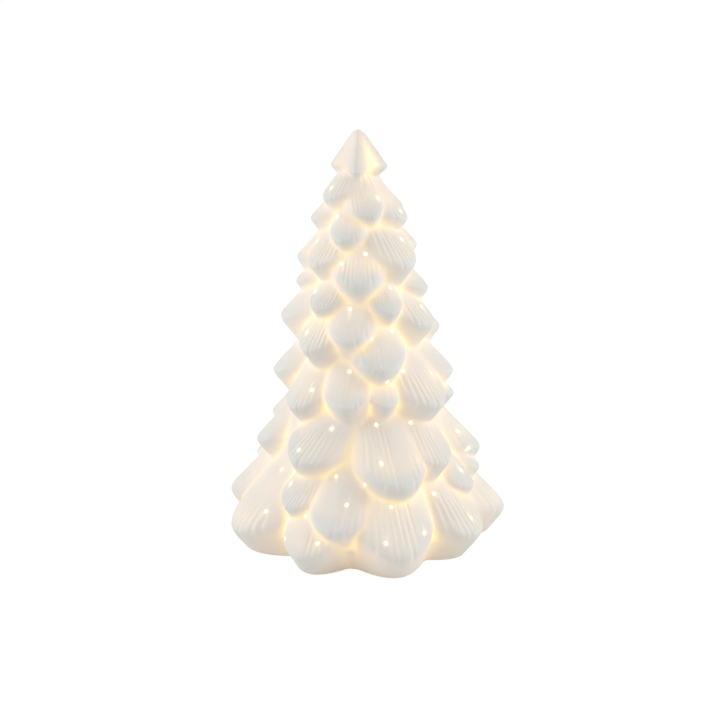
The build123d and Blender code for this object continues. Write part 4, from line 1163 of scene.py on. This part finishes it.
@dataclass(frozen=True)
class LampInsert:
    """The battery lamp in the foot: CAD nodes that keep their shapes and get their finishes."""

    cells: tuple[tuple[str, bool], ...] = (
        ("left_cell", False), ("middle_cell", True), ("right_cell", False))
    led_pitch_mm: float = 21.4

    def finishes(self) -> dict[str, Finish]:
        """The finish of each material slot, and of nodes with rings of their own.

        Returns:
            Finishes by slot or node.
        """
        metal = (("Metallic", 1.0),)
        plain = [
            # Cloudy silicone rubber, half clear
            Finish("clear_silicone", "D9DAD6", "CFD0CB", 0.5, settings=(("Transmission Weight", 0.35),)),
            # Moulded ABS with a fine spark texture
            Finish("ivory_abs", "EDE8DD", "E6E0D3", 0.55, grain_mm=0.35, grain_depth_mm=0.04),
            # Satin black ABS
            Finish("black_abs", "1E1E1F", "28282A", 0.42, grain_mm=0.35),
            # Nickel plate, brushed across the strip
            Finish("nickel_plate", "CBC9C3", "BDBAB2", 0.26, grain_mm=1.2, stretch=(1.0, 1.0, 9.0),
                   settings=metal),
            # Zinc plate with its faint yellow stain
            Finish("zinc_screw", "C3C3BD", "B5B29F", 0.34, cloud_mm=2.0, settings=metal),
            # Green solder mask over copper tracks
            SolderMask("circuit_board", "14532E", "124A29", 0.32, track="2E7A48"),
            # White solder mask, so that the strip throws its light back
            SolderMask("white_board", "EDEDE8", "E6E6E0", 0.38, track="F6F6F3", track_pitch_mm=3.4),
            # Moulded epoxy of the timer chip
            Finish("epoxy_black", "17171A", "202023", 0.6, grain_mm=0.15),
            # Frosted acrylic, bright beside each LED
            Lit("frosted_acrylic", "F2F0EA", "ECE9E0", 0.55, bright="FFF0CE", dim="F2CB8E",
                pitch_mm=self.led_pitch_mm, settings=(("Transmission Weight", 0.4), ("IOR", 1.49))),
            # Phosphor over a lit chip
            Lit("warm_led", "FFE6AE", "FFDB94", 0.3, bright="FFF7E2", dim="FFE8B8", pitch_mm=1.4),
            # Soft glossy vinyl of the leads
            Finish("red_insulation", "B01C1C", "A21717", 0.33, grain_mm=0.8),
            Finish("black_insulation", "19191A", "222224", 0.33, grain_mm=0.8),
        ]
        found = {finish.name: finish for finish in plain}
        found["series_resistor"] = self.resistor()
        for node, turned in self.cells:
            found[node] = self.cell(node, turned)
        return found

    def cell(self, node: str, turned: bool) -> Ringed:
        """A cell's printed sleeve between its bare ends.

        Args:
            node: The cell.
            turned: Whether its button points to the front.

        Returns:
            The finish.
        """
        low, high = [float(corner.y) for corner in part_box(node)]
        start, end = (high, low) if turned else (low, high)
        steel, sleeve, stripe, copper = "C9C7C0", "3A3D40", "D8D8D4", "B4744A"
        rings = ((0.0, steel), (0.015, sleeve), (0.72, stripe), (0.735, copper), (0.955, steel))
        return Ringed(f"{node}_sleeve", sleeve, sleeve, 0.3, start=start, end=end, rings=rings,
                      settings=(("Metallic", 0.6),))

    def resistor(self) -> Ringed:
        """The series resistor's lacquered body, with its code rings and tinned ends.

        Returns:
            The finish.
        """
        low, high = [float(corner.y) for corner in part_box("series_resistor")]
        tin, body, brown, black, red = "BFBDB8", "C9AE7C", "5A3418", "141414", "A8201C"
        rings = ((0.0, tin), (0.12, body), (0.26, brown), (0.35, body), (0.43, black), (0.52, body),
                 (0.6, red), (0.69, body), (0.88, tin))
        return Ringed("resistor_lacquer", body, body, 0.35, start=low, end=high, rings=rings)

    def build(self) -> None:
        """Give every node but the tree its finish."""
        materials = {name: finish.material() for name, finish in self.finishes().items()}
        for row in frame["record"]["subparts"]:
            node = row["node"]
            finish = node if node in materials else row["material_slot"]
            if finish not in materials:
                continue
            for slot in frame["nodes"][node].material_slots:
                slot.material = materials[finish]
            LOG.info("%s: %s", node, materials[finish].name)


@dataclass(frozen=True)
class Studio:
    """White floor, soft light and the camera, in metres."""

    floor_half: float = 3.0
    floor_gap: float = 0.0003
    floor_bounce: float = 0.9
    floor_shade: float = 0.22
    floor_lift: float = 0.88
    ambient: float = 0.575
    lamps_at: tuple[tuple[str, tuple[float, float, float], float], ...] = (
        ("left_lamp", (-0.8, -0.12, 0.55), 3.8), ("right_lamp", (0.8, -0.12, 0.5), 3.61))
    lamp_size: float = 0.7
    lamp_aim: tuple[float, float, float] = (0.0, 0.0, 0.1)
    elevation: float = math.radians(20.0)
    distance: float = 0.900
    aim: tuple[float, float, float] = (-0.0012, 0.0, 0.0968)
    focal_pixels: float = 1697.4
    image_pixels: float = 720.0
    sensor_mm: float = 36.0

    def build(self) -> None:
        """Make the floor, the world, the lamps and the camera."""
        self.floor()
        self.world()
        self.lamps()
        self.camera()

    def floor(self) -> None:
        """A flat white floor that keeps a faint shadow.

        The eye sees a dim diffuse floor lifted to white by light of its own. Other rays meet a plain
        pale floor that throws light back up.
        """
        half = self.floor_half
        level = -self.floor_gap
        mesh = bpy.data.meshes.new("studio_floor")
        corners = [(-half, -half, level), (half, -half, level), (half, half, level), (-half, half, level)]
        mesh.from_pydata(corners, [], [(0, 1, 2, 3)])
        floor = bpy.data.objects.new("studio_floor", mesh)
        show(floor)
        paint = bpy.data.materials.new("studio_floor_paint")
        paint.use_nodes = True
        tree = paint.node_tree
        tree.nodes.clear()
        plain, shade = [
            add_node(tree, "BsdfDiffuse", {"Color": (grey, grey, grey, 1.0)})
            for grey in (self.floor_bounce, self.floor_shade)
        ]
        lift = add_node(tree, "Emission", {"Color": WHITE, "Strength": self.floor_lift})
        white = add_node(tree, "AddShader", {0: shade.outputs[0], 1: lift.outputs[0]})
        mixed = add_node(tree, "MixShader", {
            0: self.seen(tree), 1: plain.outputs[0], 2: white.outputs[0]})
        add_node(tree, "OutputMaterial", {"Surface": mixed.outputs[0]})
        mesh.materials.append(paint)

    def seen(self, tree: NodeTree) -> NodeSocket:
        """Tell rays that show the background to the eye, straight, mirrored or through glass.

        Args:
            tree: Node tree of a material or a world.

        Returns:
            1 for such rays and 0 for others.
        """
        path = add_node(tree, "LightPath")
        first = add_node(tree, "Math", {
            0: path.outputs["Is Camera Ray"], 1: path.outputs["Is Glossy Ray"]}, operation="MAXIMUM")
        both = add_node(tree, "Math", {
            0: first.outputs[0], 1: path.outputs["Is Transmission Ray"]}, operation="MAXIMUM")
        return both.outputs[0]

    def world(self) -> None:
        """White behind the object, and an even soft light from all round."""
        world = bpy.data.worlds.new("studio_world")
        bpy.context.scene.world = world
        world.use_nodes = True
        tree = world.node_tree
        tree.nodes.clear()
        tent, white = [
            add_node(tree, "Background", {"Color": WHITE, "Strength": strength})
            for strength in (self.ambient, 1.0)
        ]
        mixed = add_node(tree, "MixShader", {
            0: self.seen(tree), 1: tent.outputs[0], 2: white.outputs[0]})
        add_node(tree, "OutputWorld", {"Surface": mixed.outputs[0]})

    def lamps(self) -> None:
        """A large soft lamp at either side, the left one a little stronger."""
        for name, place, power in self.lamps_at:
            lamp = bpy.data.lights.new(name, "AREA")
            lamp.size = self.lamp_size
            lamp.energy = power
            holder = bpy.data.objects.new(name, lamp)
            holder.location = place
            aim = Vector(self.lamp_aim) - Vector(place)
            holder.rotation_euler = aim.to_track_quat("-Z", "Y").to_euler()
            show(holder)

    def camera(self) -> None:
        """The photograph's view: a long lens a little above the tree."""
        data = bpy.data.cameras.new("camera")
        data.sensor_width = self.sensor_mm
        data.lens = self.focal_pixels / self.image_pixels * self.sensor_mm
        camera = bpy.data.objects.new("camera", data)
        back = Vector((0.0, -math.cos(self.elevation), math.sin(self.elevation)))
        camera.location = Vector(self.aim) + back * self.distance
        camera.rotation_euler = (-back).to_track_quat("-Z", "Y").to_euler()
        show(camera)
        bpy.context.scene.camera = camera


def main() -> None:
    """Build the tree, dress the lamp insert and set up the studio."""
    logging.basicConfig(level=logging.INFO, format="%(name)s: %(message)s")
    PorcelainShell().build()
    LampInsert().build()
    Studio().build()
    bpy.context.scene.view_settings.view_transform = "Standard"


if __name__ == "__main__":
    main()
